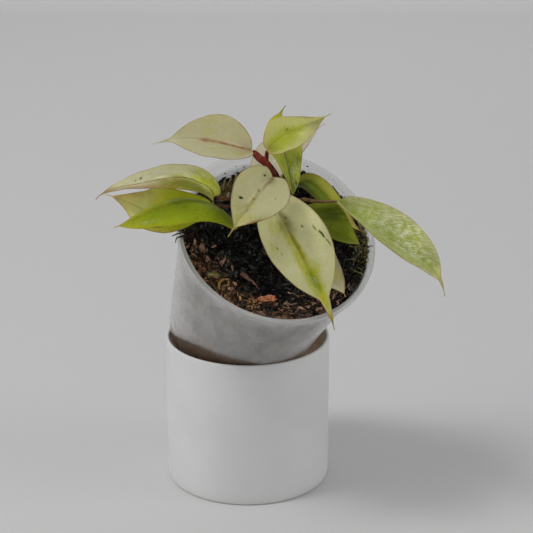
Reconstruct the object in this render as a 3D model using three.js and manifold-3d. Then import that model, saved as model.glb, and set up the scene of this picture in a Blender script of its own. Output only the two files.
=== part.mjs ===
// A young variegated philodendron in a clear growing pot that sits tilted in a white cover pot.
// Millimetres, +Z up, +Y away from the viewer, origin at the centre of the white pot's underside.

import * as THREE from 'three';
import { mergeVertices } from 'three/addons/utils/BufferGeometryUtils.js';
import Module from 'manifold-3d';

const wasm = await Module();
wasm.setup();

// White cover pot
const COVER_HEIGHT = 92;
const COVER_RADIUS = 50;
const COVER_INNER_RADIUS = 47.9;
const COVER_FLOOR = 4;
const COVER_SIDES = 56;

// Clear growing pot, measured down from its rim along its own axis
const POT_RIM_CENTRE = new THREE.Vector3(17.6, -51.7, 174.6);
const POT_TILT = THREE.MathUtils.degToRad(39.5);
const POT_TURN = THREE.MathUtils.degToRad(20.5);
const POT_DEPTH = 114.1;
const POT_LIP_RADIUS = 58.3;
const POT_LIP_HEIGHT = 3.5;
const POT_TOP_RADIUS = 55.3;
const POT_FOOT_RADIUS = 42.4;
const POT_WALL = 0.9;
const POT_FLOOR = 1.3;
const POT_SIDES = 52;
const DRAIN_HOLES = 6;
const DRAIN_HOLE_RADIUS = 3;
const DRAIN_CIRCLE_RADIUS = 27;

// Potting mix
const MIX_LEVEL = 8;
const MIX_EDGE_LEVEL = 6;
const FIT_GAP = 0.3;
const MIX_SIDES = 40;
const CHIP_COUNT = 30;

// Blades and stems
const BLADE_THICKNESS = 0.7;
const BLADE_ROWS = 14;
const BLADE_COLUMNS = [-1, -0.68, -0.34, 0, 0.34, 0.68, 1];
const BLADE_END_WIDTH = 0.42;
const STEM_SIDES = 6;

// Each leaf: the midrib runs through a cubic curve of four points, from base to tip.
// turn: degrees that the face turns about the midrib, at the base and at the tip.
// half, fold: half width and upward fold of the two halves, the second of each on the other side.
// curl: more upward bend toward the margin. lobe: how far the base lobes reach back.
// rise, fall, fullest: how fast the outline widens and narrows, and where the curve ends.
// tail: share of the width that runs on into the pointed tip.
const LEAVES = {
  leaf_upper_left: {
    midrib: [[3, -48, 223.5], [-19, -56.5, 231.5], [-29.5, -60, 237.5], [-52.5, -60, 231]],
    turn: [6, -33], half: [16, 16], fold: [19, 23], curl: 9, lobe: 2,
    rise: 0.65, fall: 1.07, fullest: 0.85, tail: 0.12,
    colour: 0xb9b48a,
  },
  leaf_centre_round: {
    midrib: [[15, -61, 212], [3.5, -91.5, 206], [0.5, -91.5, 204], [-9.5, -99, 190]],
    turn: [-8, 3], half: [17, 16], fold: [16, 17], curl: 3, lobe: 5.5,
    rise: 0.58, fall: 1.08, fullest: 0.88, tail: 0.12,
    colour: 0xc2bf98,
  },
  leaf_front_large: {
    midrib: [[14.5, -52.5, 196.5], [35, -93, 165.5], [45, -99, 156.5], [49, -104.5, 137.5]],
    turn: [6, 17], half: [20, 19], fold: [17, 13], curl: 1, lobe: 4.5,
    rise: 0.58, fall: 1.01, fullest: 0.7, tail: 0.12,
    colour: 0xaeb280,
  },
  leaf_front_under: {
    midrib: [[36.5, -50.5, 176], [28.5, -64.5, 161], [53.5, -76, 156], [56, -79, 147]],
    turn: [-9, -8], half: [14, 14], fold: [13, 16], curl: 1, lobe: 2.5,
    rise: 0.62, fall: 1.07, fullest: 0.93, tail: 0.11,
    colour: 0xa08a66,
  },
  leaf_right_long: {
    midrib: [[52.5, -50.5, 194], [89, -81.5, 172], [107, -85, 173], [112.5, -74, 145.5]],
    turn: [-17, 23], half: [16.5, 16], fold: [23, 22], curl: 12, lobe: 2,
    rise: 0.57, fall: 1.12, fullest: 0.83, tail: 0.14,
    colour: 0x8f9c4c,
  },
  leaf_right_olive: {
    midrib: [[30, -19, 194.5], [40.5, -25, 205], [57.5, -49.5, 173.5], [70, -41.5, 172.5]],
    turn: [-3, -17], half: [7.5, 8], fold: [16, 3], curl: 4, lobe: 2,
    rise: 0.55, fall: 1.11, fullest: 0.89, tail: 0.11,
    colour: 0x6e7836,
  },
  leaf_right_dark: {
    midrib: [[30.5, -42.5, 184], [41, -54, 183], [50, -61.5, 180.5], [64.5, -56.5, 170.5]],
    turn: [-16, -2], half: [15, 15], fold: [28, 21], curl: 3, lobe: 3,
    rise: 0.62, fall: 1.04, fullest: 1, tail: 0.1,
    colour: 0x41591f,
  },
  leaf_top_lime: {
    midrib: [[12, -53.5, 225.5], [25, -59.5, 241], [26, -61.5, 238.5], [47.5, -56, 247.5]],
    turn: [4, 51], half: [11.5, 12.5], fold: [27, 19], curl: 13, lobe: 1.5,
    rise: 0.7, fall: 1.06, fullest: 0.95, tail: 0.12,
    colour: 0x9fae5a,
  },
  leaf_top_upright: {
    midrib: [[26.5, -42.5, 195.5], [24, -40, 221], [12, -37, 234.5], [22.5, -32, 245.5]],
    turn: [49, -7], half: [16.5, 16], fold: [15, 11], curl: -1, lobe: 0,
    rise: 0.7, fall: 1.08, fullest: 0.88, tail: 0.13,
    colour: 0x94a64c,
  },
  leaf_top_behind: {
    midrib: [[12.5, -19, 203], [9.5, -22.5, 209.5], [32.5, -17, 222], [45.5, -9, 228]],
    turn: [-23, -12], half: [14.5, 14.5], fold: [7, 13], curl: -5, lobe: 3,
    rise: 0.59, fall: 1.07, fullest: 0.9, tail: 0.1,
    colour: 0xb4b896,
  },
  leaf_left_pale: {
    midrib: [[-18, -58.5, 200], [-22.5, -63.5, 220.5], [-80.5, -82.5, 214], [-83, -75.5, 203.5]],
    turn: [8, 45], half: [14.5, 14], fold: [15, 8], curl: -4, lobe: 4,
    rise: 0.55, fall: 1.11, fullest: 0.89, tail: 0.11,
    colour: 0xaaa97a,
  },
  leaf_left_tan: {
    midrib: [[-19.5, -55.5, 194], [-64, -77, 192.5], [-48, -73, 197], [-78.5, -71.5, 205.5]],
    turn: [-4, -6], half: [14.5, 15], fold: [11, 13], curl: -3, lobe: 2.5,
    rise: 0.67, fall: 1.07, fullest: 0.96, tail: 0.11,
    colour: 0x95804f,
  },
  leaf_left_green: {
    midrib: [[-4.5, -78, 189], [-24, -83, 219], [-52.5, -98.5, 201], [-72, -93, 193.5]],
    turn: [36, 12], half: [15.5, 14.5], fold: [7, -3], curl: -20, lobe: 3,
    rise: 0.65, fall: 1.02, fullest: 0.96, tail: 0.13,
    colour: 0x7f9a3c,
  },
};

// Each stem node: runs of points with a radius, x, y, z, radius. The first run is the stem that
// stands in the mix, and the others are leaf stalks that leave it.
const STEMS = {
  stem_centre: [
    [[14, -17.5, 181.5, 1.9], [15, -38, 192.5, 1.9], [17.5, -47, 203, 1.6], [17.5, -52.5, 209.5, 1.1],
      [13.5, -53.5, 215.5, 1.15], [10, -52, 218.5, 1.5], [7.3, -49.3, 219.8, 1.3],
      [5.2, -47.7, 221.6, 0.85], [3.6, -47.9, 223.1, 0.65]],
    [[11, -52.5, 218.5, 0.95], [11.5, -52.5, 221, 0.85], [11.8, -53.3, 224.8, 0.65]],
    [[17.5, -51, 208, 1], [17, -55.5, 210, 0.9], [15.3, -60.3, 211.9, 0.65]],
    [[15.5, -39, 193.5, 1], [21.5, -38, 190, 0.9], [25.5, -40, 191.5, 0.8], [26.4, -42.3, 194.8, 0.65]],
    [[15, -37, 192.5, 1], [15, -27.5, 196, 0.9], [13.5, -21, 199.5, 0.8], [12.8, -19.2, 202, 0.65]],
  ],
  stem_left: [
    [[4, -22.5, 180, 1.8], [3, -40, 187.5, 1.7], [0.5, -44, 191, 1.4], [-7.5, -49, 195, 1.15],
      [-13, -54, 197, 1.05], [-17.4, -57.9, 199.2, 0.65]],
    [[2, -41.5, 188.5, 1.2], [-5, -45.5, 189.5, 1], [-12.5, -51, 191.5, 0.9], [-19.1, -55.3, 193.9, 0.65]],
    [[3, -42, 187.5, 1.3], [1.5, -54.5, 188.5, 1], [-0.5, -67, 189, 0.9], [-3.9, -77, 188.5, 0.65]],
  ],
  stem_right: [
    [[23, -20, 177, 1.8], [23.5, -37, 184.5, 1.7], [26, -39.5, 188.5, 1.4], [32, -42.5, 192.5, 1.2],
      [37.5, -46, 193, 1.05], [45, -49, 193.5, 0.95], [51.8, -50.2, 194.1, 0.65]],
    [[23, -35, 183, 1.3], [20, -42, 187.5, 1.1], [17, -49, 193, 0.85], [14.7, -51.6, 196.2, 0.65]],
    [[23.5, -35.5, 182.5, 1.2], [28.5, -39, 179, 1], [33, -45, 177, 0.85], [36.3, -49.7, 176.3, 0.65]],
    [[24, -37, 184.5, 1.2], [27, -38, 184, 1], [30.1, -42, 184, 0.65]],
    [[23.5, -33, 183.5, 1.1], [25, -24, 187.5, 0.95], [27.5, -19.5, 191.5, 0.8], [29.3, -18.9, 193.8, 0.65]],
  ],
};
const STEM_COLOUR = { stem_centre: 0x6a3028, stem_left: 0x5c3626, stem_right: 0x8a5f45 };

// A repeatable draw between 0 and 1
function makeDraw(seed) {
  let state = seed >>> 0;
  return () => {
    state = (state + 0x6d2b79f5) >>> 0;
    let t = Math.imul(state ^ (state >>> 15), 1 | state);
    t = (t + Math.imul(t ^ (t >>> 7), 61 | t)) ^ t;
    return ((t ^ (t >>> 14)) >>> 0) / 4294967296;
  };
}

// Makes one merged closed mesh of a geometry, without the triangles that collapse at a pole
function closedGeometry(geometry) {
  geometry.deleteAttribute('normal');
  geometry.deleteAttribute('uv');
  const merged = mergeVertices(geometry, 1e-4);
  const index = merged.index.array;
  const kept = [];
  for (let i = 0; i < index.length; i += 3) {
    const a = index[i];
    const b = index[i + 1];
    const c = index[i + 2];
    if (a !== b && b !== c && c !== a) {
      kept.push(a, b, c);
    }
  }
  merged.setIndex(kept);
  return merged;
}

function toSolid(geometry) {
  const closed = closedGeometry(geometry);
  return new wasm.Manifold(new wasm.Mesh({
    numProp: 3,
    vertProperties: new Float32Array(closed.attributes.position.array),
    triVerts: new Uint32Array(closed.index.array),
  }));
}

function toGeometry(solid) {
  const mesh = solid.getMesh();
  const geometry = new THREE.BufferGeometry();
  const count = mesh.vertProperties.length / mesh.numProp;
  const position = new Float32Array(count * 3);
  for (let i = 0; i < count; i += 1) {
    for (let k = 0; k < 3; k += 1) {
      position[3 * i + k] = mesh.vertProperties[mesh.numProp * i + k];
    }
  }
  geometry.setAttribute('position', new THREE.BufferAttribute(position, 3));
  geometry.setIndex(new THREE.BufferAttribute(new Uint32Array(mesh.triVerts), 1));
  return geometry;
}

function addMesh(parent, name, geometry, colour, roughness, extra = {}) {
  const material = new THREE.MeshStandardMaterial({ color: colour, roughness, metalness: 0, ...extra });
  geometry.computeVertexNormals();
  const mesh = new THREE.Mesh(geometry, material);
  mesh.name = name;
  parent.add(mesh);
  return mesh;
}

// Turns a profile of radius and height about the Z axis
function turned(profile, sides) {
  const points = profile.map(([r, z]) => new THREE.Vector2(r, z));
  return new THREE.LatheGeometry(points, sides).rotateX(Math.PI / 2);
}

function smooth(x, a, b) {
  const u = THREE.MathUtils.clamp((x - a) / (b - a), 0, 1);
  return u * u * (3 - 2 * u);
}

// The growing pot's own frame: its rim's centre, and its axis up out of the rim
const potTurn = new THREE.Matrix4().makeRotationFromEuler(new THREE.Euler(POT_TILT, 0, POT_TURN, 'ZXY'));
const potPlace = potTurn.clone().setPosition(POT_RIM_CENTRE);
const potPlaceBack = potPlace.clone().invert();
const faceWay = new THREE.Vector3(0, 0, 1).transformDirection(potTurn);

// Half width of a blade at a place along its midrib, as a share of the widest
function outlineAt(leaf, t) {
  const { rise, fall, fullest, tail } = leaf;
  const s = THREE.MathUtils.clamp(t / fullest, 0, 1);
  const peak = rise / (rise + fall);
  const top = peak ** rise * (1 - peak) ** fall;
  const body = (s ** rise * (1 - s) ** fall) / top;
  const run = tail * ((1 - t) / 0.25) ** 1.25 * smooth(t, 0.3, 0.75);
  return Math.hypot(body, run);
}

// A point of a blade's middle surface: t from base to tip, v from one margin to the other
function bladePoint(leaf, curve, t, v) {
  const tangent = curve.getTangent(t);
  const flat = faceWay.clone().addScaledVector(tangent, -faceWay.dot(tangent)).normalize();
  const roll = THREE.MathUtils.degToRad(THREE.MathUtils.lerp(leaf.turn[0], leaf.turn[1], t));
  const normal = flat.clone().applyAxisAngle(tangent, roll);
  const side = new THREE.Vector3().crossVectors(normal, tangent);
  const which = v > 0 ? 0 : 1;
  const spread = Math.abs(v);
  const shape = outlineAt(leaf, t);
  const width = Math.max(leaf.half[which] * shape, BLADE_END_WIDTH) * spread;
  const angle = THREE.MathUtils.degToRad(leaf.fold[which] + leaf.curl * spread);
  const back = leaf.lobe * (1 - t) ** 4 * Math.min(1, 2.5 * shape) * v * v;
  const point = curve.getPoint(t);
  point.addScaledVector(side, Math.sign(v) * width * Math.cos(angle));
  point.addScaledVector(normal, width * Math.sin(angle));
  point.addScaledVector(tangent, -back);
  return point;
}

// One blade of even thickness, split into triangles alike on its two faces
function bladeGeometry(leaf) {
  const curve = new THREE.CubicBezierCurve3(...leaf.midrib.map((p) => new THREE.Vector3(...p)));
  const rows = BLADE_ROWS + 1;
  const columns = BLADE_COLUMNS.length;
  const upper = [];
  const lower = [];
  for (let i = 0; i < rows; i += 1) {
    const u = i / BLADE_ROWS;
    const t = 0.45 * u + 0.55 * (0.5 - 0.5 * Math.cos(Math.PI * u));
    for (const v of BLADE_COLUMNS) {
      const along = bladePoint(leaf, curve, Math.min(t + 0.02, 1), v);
      along.sub(bladePoint(leaf, curve, Math.max(t - 0.02, 0), v));
      const across = bladePoint(leaf, curve, t, Math.min(v + 0.2, 1));
      across.sub(bladePoint(leaf, curve, t, Math.max(v - 0.2, -1)));
      const out = new THREE.Vector3().crossVectors(along, across).normalize();
      const middle = bladePoint(leaf, curve, t, v);
      upper.push(middle.clone().addScaledVector(out, BLADE_THICKNESS / 2));
      lower.push(middle.clone().addScaledVector(out, -BLADE_THICKNESS / 2));
    }
  }
  const points = [...upper, ...lower];
  const at = (i, j) => i * columns + j;
  const under = upper.length;
  const faces = [];
  for (let i = 0; i < BLADE_ROWS; i += 1) {
    for (let j = 0; j < columns - 1; j += 1) {
      const a = at(i, j);
      const b = at(i + 1, j);
      const c = at(i + 1, j + 1);
      const d = at(i, j + 1);
      if (j < (columns - 1) / 2) {
        faces.push([a, b, d], [b, c, d]);
        faces.push([under + a, under + d, under + b], [under + b, under + d, under + c]);
      } else {
        faces.push([a, b, c], [a, c, d]);
        faces.push([under + a, under + c, under + b], [under + a, under + d, under + c]);
      }
    }
    const left = [at(i, 0), at(i + 1, 0)];
    const right = [at(i, columns - 1), at(i + 1, columns - 1)];
    faces.push([left[0], under + left[0], under + left[1]], [left[0], under + left[1], left[1]]);
    faces.push([right[0], under + right[1], under + right[0]], [right[0], right[1], under + right[1]]);
  }
  for (let j = 0; j < columns - 1; j += 1) {
    const first = [at(0, j), at(0, j + 1)];
    const last = [at(BLADE_ROWS, j), at(BLADE_ROWS, j + 1)];
    faces.push([first[0], first[1], under + first[1]], [first[0], under + first[1], under + first[0]]);
    faces.push([last[0], under + last[1], last[1]], [last[0], under + last[0], under + last[1]]);
  }
  const geometry = new THREE.BufferGeometry();
  geometry.setAttribute('position', new THREE.Float32BufferAttribute(points.flatMap((p) => p.toArray()), 3));
  geometry.setIndex(faces.flat());
  return geometry;
}

// A round closed tube whose radius follows its points. grow widens it and lengthens its ends
function tubeGeometry(run, stepsPerSpan, sides, grow = 0) {
  const through = run.map((p) => new THREE.Vector3(p[0], p[1], p[2]));
  const curve = new THREE.CatmullRomCurve3(through, false, 'catmullrom', 0.5);
  const steps = stepsPerSpan * (run.length - 1);
  const centres = [];
  const radii = [];
  for (let i = 0; i <= steps; i += 1) {
    const place = (i / steps) * (run.length - 1);
    const k = Math.min(Math.floor(place), run.length - 2);
    centres.push(curve.getPoint(i / steps));
    radii.push(THREE.MathUtils.lerp(run[k][3], run[k + 1][3], place - k) + grow);
  }
  const ways = centres.map((c, i) => {
    const next = centres[Math.min(i + 1, steps)];
    const before = centres[Math.max(i - 1, 0)];
    return next.clone().sub(before).normalize();
  });
  centres[0].addScaledVector(ways[0], -grow);
  centres[steps].addScaledVector(ways[steps], grow);
  let normal = new THREE.Vector3(1, 0, 0).cross(ways[0]).normalize();
  const points = [];
  centres.forEach((c, i) => {
    normal = normal.clone().addScaledVector(ways[i], -normal.dot(ways[i])).normalize();
    const other = new THREE.Vector3().crossVectors(ways[i], normal);
    for (let k = 0; k < sides; k += 1) {
      const angle = (2 * Math.PI * k) / sides;
      const point = c.clone().addScaledVector(normal, radii[i] * Math.cos(angle));
      points.push(point.addScaledVector(other, radii[i] * Math.sin(angle)));
    }
  });
  const start = points.length;
  points.push(centres[0].clone(), centres[steps].clone());
  const faces = [];
  for (let k = 0; k < sides; k += 1) {
    const n = (k + 1) % sides;
    for (let i = 0; i < steps; i += 1) {
      const a = i * sides;
      const b = a + sides;
      faces.push(a + k, a + n, b + n, a + k, b + n, b + k);
    }
    faces.push(start, n, k);
    faces.push(start + 1, steps * sides + k, steps * sides + n);
  }
  const geometry = new THREE.BufferGeometry();
  geometry.setAttribute('position', new THREE.Float32BufferAttribute(points.flatMap((p) => p.toArray()), 3));
  geometry.setIndex(faces);
  return geometry;
}

// A broken piece of bark: a block with uneven corners. grow makes it larger all round
function barkGeometry(length, width, height, draw, grow = 0) {
  const geometry = closedGeometry(new THREE.BoxGeometry(length, width, height));
  const position = geometry.attributes.position;
  for (let i = 0; i < position.count; i += 1) {
    const corner = new THREE.Vector3().fromBufferAttribute(position, i);
    const sign = new THREE.Vector3(Math.sign(corner.x), Math.sign(corner.y), Math.sign(corner.z));
    corner.x *= 0.72 + 0.28 * draw();
    corner.y *= 0.6 + 0.4 * draw();
    corner.z *= 0.65 + 0.35 * draw();
    corner.addScaledVector(sign, grow);
    position.setXYZ(i, corner.x, corner.y, corner.z);
  }
  return geometry;
}

// Inner radius of the growing pot at a height below its rim
function potInnerRadius(h) {
  const slope = (POT_TOP_RADIUS - POT_FOOT_RADIUS) / (POT_DEPTH - 5 - 6);
  return POT_TOP_RADIUS - POT_WALL + (h + 6) * slope;
}

// Height of the mix's surface: hollow at the back left, heaped up toward the lower side of the rim
function mixHeight(x, y) {
  const radius = Math.hypot(x, y);
  const angle = Math.atan2(y, x);
  const edgeShare = smooth(radius / potInnerRadius(-MIX_LEVEL), 0.45, 1);
  const heap = 3.6 * Math.cos(angle - THREE.MathUtils.degToRad(264));
  const away = Math.atan2(Math.sin(angle - Math.PI), Math.cos(angle - Math.PI));
  const dip = -4 * Math.exp(-((away / 0.3) ** 2));
  const hollow = -7 * Math.exp(-(((angle - 1.95) / 0.4) ** 2));
  const bank = 2.6 * Math.exp(-(((angle - 0.75) / 0.5) ** 2));
  const edge = -MIX_EDGE_LEVEL + heap + dip + hollow + bank;
  const broad = Math.sin(x * 0.31 + 1.7) * Math.cos(y * 0.27 - 0.6);
  const fine = 0.7 * Math.sin(x * 0.53 - y * 0.47 + 2.1);
  return THREE.MathUtils.lerp(-MIX_LEVEL, edge, edgeShare) + 0.9 * (broad + fine);
}

function mixGeometry() {
  const rings = 8;
  const points = [];
  const faces = [];
  points.push(new THREE.Vector3(0, 0, mixHeight(0, 0)));
  for (let i = 1; i <= rings; i += 1) {
    for (let k = 0; k < MIX_SIDES; k += 1) {
      const angle = (2 * Math.PI * (k + 0.5 * (i % 2))) / MIX_SIDES;
      const radius = ((potInnerRadius(-MIX_LEVEL) - FIT_GAP - 0.35) * i) / rings;
      const x = radius * Math.cos(angle);
      const y = radius * Math.sin(angle);
      const wallRadius = potInnerRadius(mixHeight(x, y)) - FIT_GAP - 0.2;
      const scale = i === rings ? wallRadius / radius : 1;
      points.push(new THREE.Vector3(x * scale, y * scale, mixHeight(x, y)));
    }
  }
  const ring = (i) => 1 + (i - 1) * MIX_SIDES;
  const sideHeights = [-24, 1.4 + 5 - POT_DEPTH, POT_FLOOR + FIT_GAP - POT_DEPTH];
  const footRadius = POT_FOOT_RADIUS - 1 - POT_WALL - FIT_GAP - 0.9;
  sideHeights.forEach((h, n) => {
    for (let k = 0; k < MIX_SIDES; k += 1) {
      const angle = (2 * Math.PI * (k + 0.5 * ((rings + n + 1) % 2))) / MIX_SIDES;
      const radius = n === 2 ? footRadius - 1 : Math.min(potInnerRadius(h) - FIT_GAP - 0.2, 99);
      points.push(new THREE.Vector3(radius * Math.cos(angle), radius * Math.sin(angle), h));
    }
  });
  const bottom = points.length;
  points.push(new THREE.Vector3(0, 0, sideHeights[2]));
  for (let k = 0; k < MIX_SIDES; k += 1) {
    const n = (k + 1) % MIX_SIDES;
    faces.push(0, 1 + k, 1 + n);
    for (let i = 1; i < rings + sideHeights.length; i += 1) {
      const a = ring(i);
      const b = ring(i + 1);
      if (i % 2) {
        faces.push(a + k, b + k, b + n, a + k, b + n, a + n);
      } else {
        faces.push(a + k, b + k, a + n, b + k, b + n, a + n);
      }
    }
    faces.push(bottom, ring(rings + 3) + n, ring(rings + 3) + k);
  }
  const geometry = new THREE.BufferGeometry();
  geometry.setAttribute('position', new THREE.Float32BufferAttribute(points.flatMap((p) => p.toArray()), 3));
  geometry.setIndex(faces);
  return geometry;
}

const group = new THREE.Group();

// White cover pot: straight wall, rounded rim and foot edge, flat underside
const coverProfile = [
  [0, 0], [48.6, 0], [49.5, 0.5], [49.8, 1.5], [COVER_RADIUS, 8],
  [COVER_RADIUS, COVER_HEIGHT - 1.6], [COVER_RADIUS - 0.15, COVER_HEIGHT - 0.8],
  [COVER_RADIUS - 0.5, COVER_HEIGHT - 0.2], [COVER_RADIUS - 1.05, COVER_HEIGHT],
  [COVER_INNER_RADIUS + 0.55, COVER_HEIGHT - 0.2], [COVER_INNER_RADIUS + 0.15, COVER_HEIGHT - 0.8],
  [COVER_INNER_RADIUS, COVER_HEIGHT - 1.6], [COVER_INNER_RADIUS, COVER_FLOOR + 3],
  [COVER_INNER_RADIUS - 2.6, COVER_FLOOR], [0, COVER_FLOOR],
];
addMesh(group, 'outer_pot', closedGeometry(turned(coverProfile, COVER_SIDES)), 0xdedddb, 0.55);

// Growing pot, in its own tilted group
const tilted = new THREE.Group();
tilted.position.copy(POT_RIM_CENTRE);
tilted.rotation.set(POT_TILT, 0, POT_TURN, 'ZXY');
group.add(tilted);

const potProfile = [
  [0, -POT_DEPTH], [POT_FOOT_RADIUS - 3.2, -POT_DEPTH], [POT_FOOT_RADIUS - 1, 1.4 - POT_DEPTH],
  [POT_FOOT_RADIUS, 5 - POT_DEPTH], [POT_TOP_RADIUS, -6], [POT_LIP_RADIUS - 2.1, -POT_LIP_HEIGHT],
  [POT_LIP_RADIUS - 0.3, -POT_LIP_HEIGHT], [POT_LIP_RADIUS, -POT_LIP_HEIGHT + 0.4],
  [POT_LIP_RADIUS, -0.4], [POT_LIP_RADIUS - 0.4, 0], [POT_LIP_RADIUS - 1.6, 0],
  [potInnerRadius(-1.2), -1.6], [potInnerRadius(-6), -6],
  [potInnerRadius(5 - POT_DEPTH), 5 - POT_DEPTH],
  [potInnerRadius(5 - POT_DEPTH) - 1.2, POT_FLOOR - POT_DEPTH + 0.4],
  [potInnerRadius(5 - POT_DEPTH) - 3.4, POT_FLOOR - POT_DEPTH], [0, POT_FLOOR - POT_DEPTH],
];
let potSolid = toSolid(turned(potProfile, POT_SIDES));
for (let k = 0; k < DRAIN_HOLES; k += 1) {
  const angle = (2 * Math.PI * k) / DRAIN_HOLES;
  const drill = new THREE.CylinderGeometry(DRAIN_HOLE_RADIUS, DRAIN_HOLE_RADIUS, 6, 10).rotateX(Math.PI / 2);
  drill.translate(DRAIN_CIRCLE_RADIUS * Math.cos(angle), DRAIN_CIRCLE_RADIUS * Math.sin(angle), -POT_DEPTH);
  potSolid = potSolid.subtract(toSolid(drill));
}
addMesh(tilted, 'nursery_pot', toGeometry(potSolid), 0xb9b6ab, 0.25, { transparent: true, opacity: 0.4 });

// Pieces of bark in the mix, at random places that keep clear of the wall
const draw = makeDraw(29);
let mixSolid = toSolid(mixGeometry());
for (let k = 0; k < CHIP_COUNT; k += 1) {
  const angle = 2 * Math.PI * draw();
  const length = 4 + 4.5 * draw();
  const radius = (potInnerRadius(-MIX_LEVEL) - 2.5 - 0.62 * length) * Math.sqrt(0.1 + 0.9 * draw());
  const x = radius * Math.cos(angle);
  const y = radius * Math.sin(angle);
  const chip = barkGeometry(length, 2.6 + 2 * draw(), 1.8 + 1.4 * draw(), draw);
  chip.rotateX(0.5 * draw() - 0.25);
  chip.rotateY(0.6 * draw() - 0.3);
  chip.rotateZ(2 * Math.PI * draw());
  chip.translate(x, y, mixHeight(x, y) + 0.35);
  mixSolid = mixSolid.add(toSolid(chip));
}

// Larger loose pieces that lie on the mix: size, place in the growing pot's frame, turn and lean
const LOOSE_PIECES = {
  bark_chunk_back: {
    size: [13, 7, 8.5], place: [-18, 35.5, 1.6], turn: 8, lean: 14, seed: 7, colour: 0x3b2c22,
  },
  bark_chip_front: {
    size: [12, 4.2, 2.6], place: [-16, -38, 1.1], turn: -2, lean: 4, seed: 9, colour: 0x9a6233,
  },
  bark_chip_left: {
    size: [12, 6, 3.6], place: [-41, -19.5, 1.1], turn: -14, lean: -5, seed: 12, colour: 0x6b4a2c,
  },
};
const loose = [];
for (const [name, piece] of Object.entries(LOOSE_PIECES)) {
  const [x, y, lift] = piece.place;
  const place = (geometry) => geometry
    .rotateX(THREE.MathUtils.degToRad(piece.lean))
    .rotateZ(THREE.MathUtils.degToRad(piece.turn))
    .translate(x, y, mixHeight(x, y) + lift);
  const bed = barkGeometry(...piece.size, makeDraw(piece.seed), 1.6 * FIT_GAP);
  mixSolid = mixSolid.subtract(toSolid(place(bed)));
  loose.push([name, place(barkGeometry(...piece.size, makeDraw(piece.seed))), piece.colour]);
}

// Plain holes in the mix where the three stems stand
for (const runs of Object.values(STEMS)) {
  const hole = tubeGeometry(runs[0].slice(0, 3), 3, STEM_SIDES, FIT_GAP + 0.1).applyMatrix4(potPlaceBack);
  mixSolid = mixSolid.subtract(toSolid(hole));
}
addMesh(tilted, 'potting_mix', toGeometry(mixSolid), 0x41352a, 0.95);
for (const [name, geometry, colour] of loose) {
  addMesh(tilted, name, geometry, colour, 0.9);
}

// Stems with their leaf stalks, each one grown piece
for (const [name, runs] of Object.entries(STEMS)) {
  let solid = toSolid(tubeGeometry(runs[0], 3, STEM_SIDES));
  for (const run of runs.slice(1)) {
    solid = solid.add(toSolid(tubeGeometry(run, 3, STEM_SIDES)));
  }
  addMesh(group, name, toGeometry(solid), STEM_COLOUR[name], 0.5);
}

// Leaf blades
for (const [name, leaf] of Object.entries(LEAVES)) {
  addMesh(group, name, bladeGeometry(leaf), leaf.colour, 0.45, { side: THREE.FrontSide });
}

export default group;
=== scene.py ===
# %% [markdown]
# # A young variegated philodendron in its two pots
# The solids of the plant come in first as a fixed frame, in metres, with the origin at the centre
# of the white pot's underside. Finer pieces are laid over those solids and take their place, so
# nothing has to be fitted by eye. Loose stuff that has no solid, such as crumbs, is added to them.

# %% Load the frame
import math

import bmesh
import bpy
import numpy as np
from mathutils import Euler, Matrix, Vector


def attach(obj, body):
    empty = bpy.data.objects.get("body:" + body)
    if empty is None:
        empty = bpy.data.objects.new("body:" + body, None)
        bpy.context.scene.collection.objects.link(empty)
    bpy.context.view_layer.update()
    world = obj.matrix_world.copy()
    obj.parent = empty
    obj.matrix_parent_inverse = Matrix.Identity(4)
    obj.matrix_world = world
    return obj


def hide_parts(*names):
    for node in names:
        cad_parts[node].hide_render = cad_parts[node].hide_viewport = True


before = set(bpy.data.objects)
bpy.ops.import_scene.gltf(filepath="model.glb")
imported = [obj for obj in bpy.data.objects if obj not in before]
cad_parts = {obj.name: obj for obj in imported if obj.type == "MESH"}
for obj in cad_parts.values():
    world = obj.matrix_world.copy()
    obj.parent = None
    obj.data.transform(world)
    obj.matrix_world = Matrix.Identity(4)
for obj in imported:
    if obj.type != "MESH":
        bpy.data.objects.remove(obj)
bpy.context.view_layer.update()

# %% [markdown]
# ## Shared sizes
# The clear growing pot leans out of the white pot. Its rim's centre and the way its axis points are
# used by the pot, the mix and every leaf, because the leaves face along that axis: the plant grew
# upright and was tilted later. Three short rules serve everywhere: a soft step, a bell and an oval.

# %% Sizes and the growing pot's own frame
MM = 0.001
RIM_CENTRE = np.array([17.6, -51.7, 174.6])
POT_TURN = Euler((math.radians(39.5), 0, math.radians(20.5)), "YXZ").to_matrix()
POT_MATRIX = np.array(POT_TURN)
POT_AXIS = np.array(POT_TURN @ Vector((0, 0, 1)))
print("growing pot axis:", POT_AXIS.round(4))


def smooth(x, a, b):
    u = np.clip((x - a) / (b - a), 0, 1)
    return u * u * (3 - 2 * u)


def bell(x, centre, reach):
    return np.exp(-(((x - centre) / reach) ** 2))


def oval(x, y, x0, y0, reach_x, reach_y):
    return np.exp(-(((x - x0) / reach_x) ** 2) - ((y - y0) / reach_y) ** 2)


def unit(vectors):
    return vectors / np.linalg.norm(vectors, axis=-1, keepdims=True)


# %% [markdown]
# ## From points to a mesh
# A piece is given as points in millimetres and faces. Values that belong to points, such as how
# green a leaf is there, are stored as named attributes, and a material can read them by name.

# %% Make a mesh object
def add_object(name, data):
    added = bpy.data.objects.new(name, data)
    bpy.context.scene.collection.objects.link(added)
    return added


def store_values(mesh, values):
    for key, numbers in values.items():
        layer = mesh.attributes.new(key, "FLOAT", "POINT")
        layer.data.foreach_set("value", np.asarray(numbers, np.float32).ravel())


def set_smooth(mesh, is_smooth):
    mesh.polygons.foreach_set("use_smooth", [is_smooth] * len(mesh.polygons))


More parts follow.
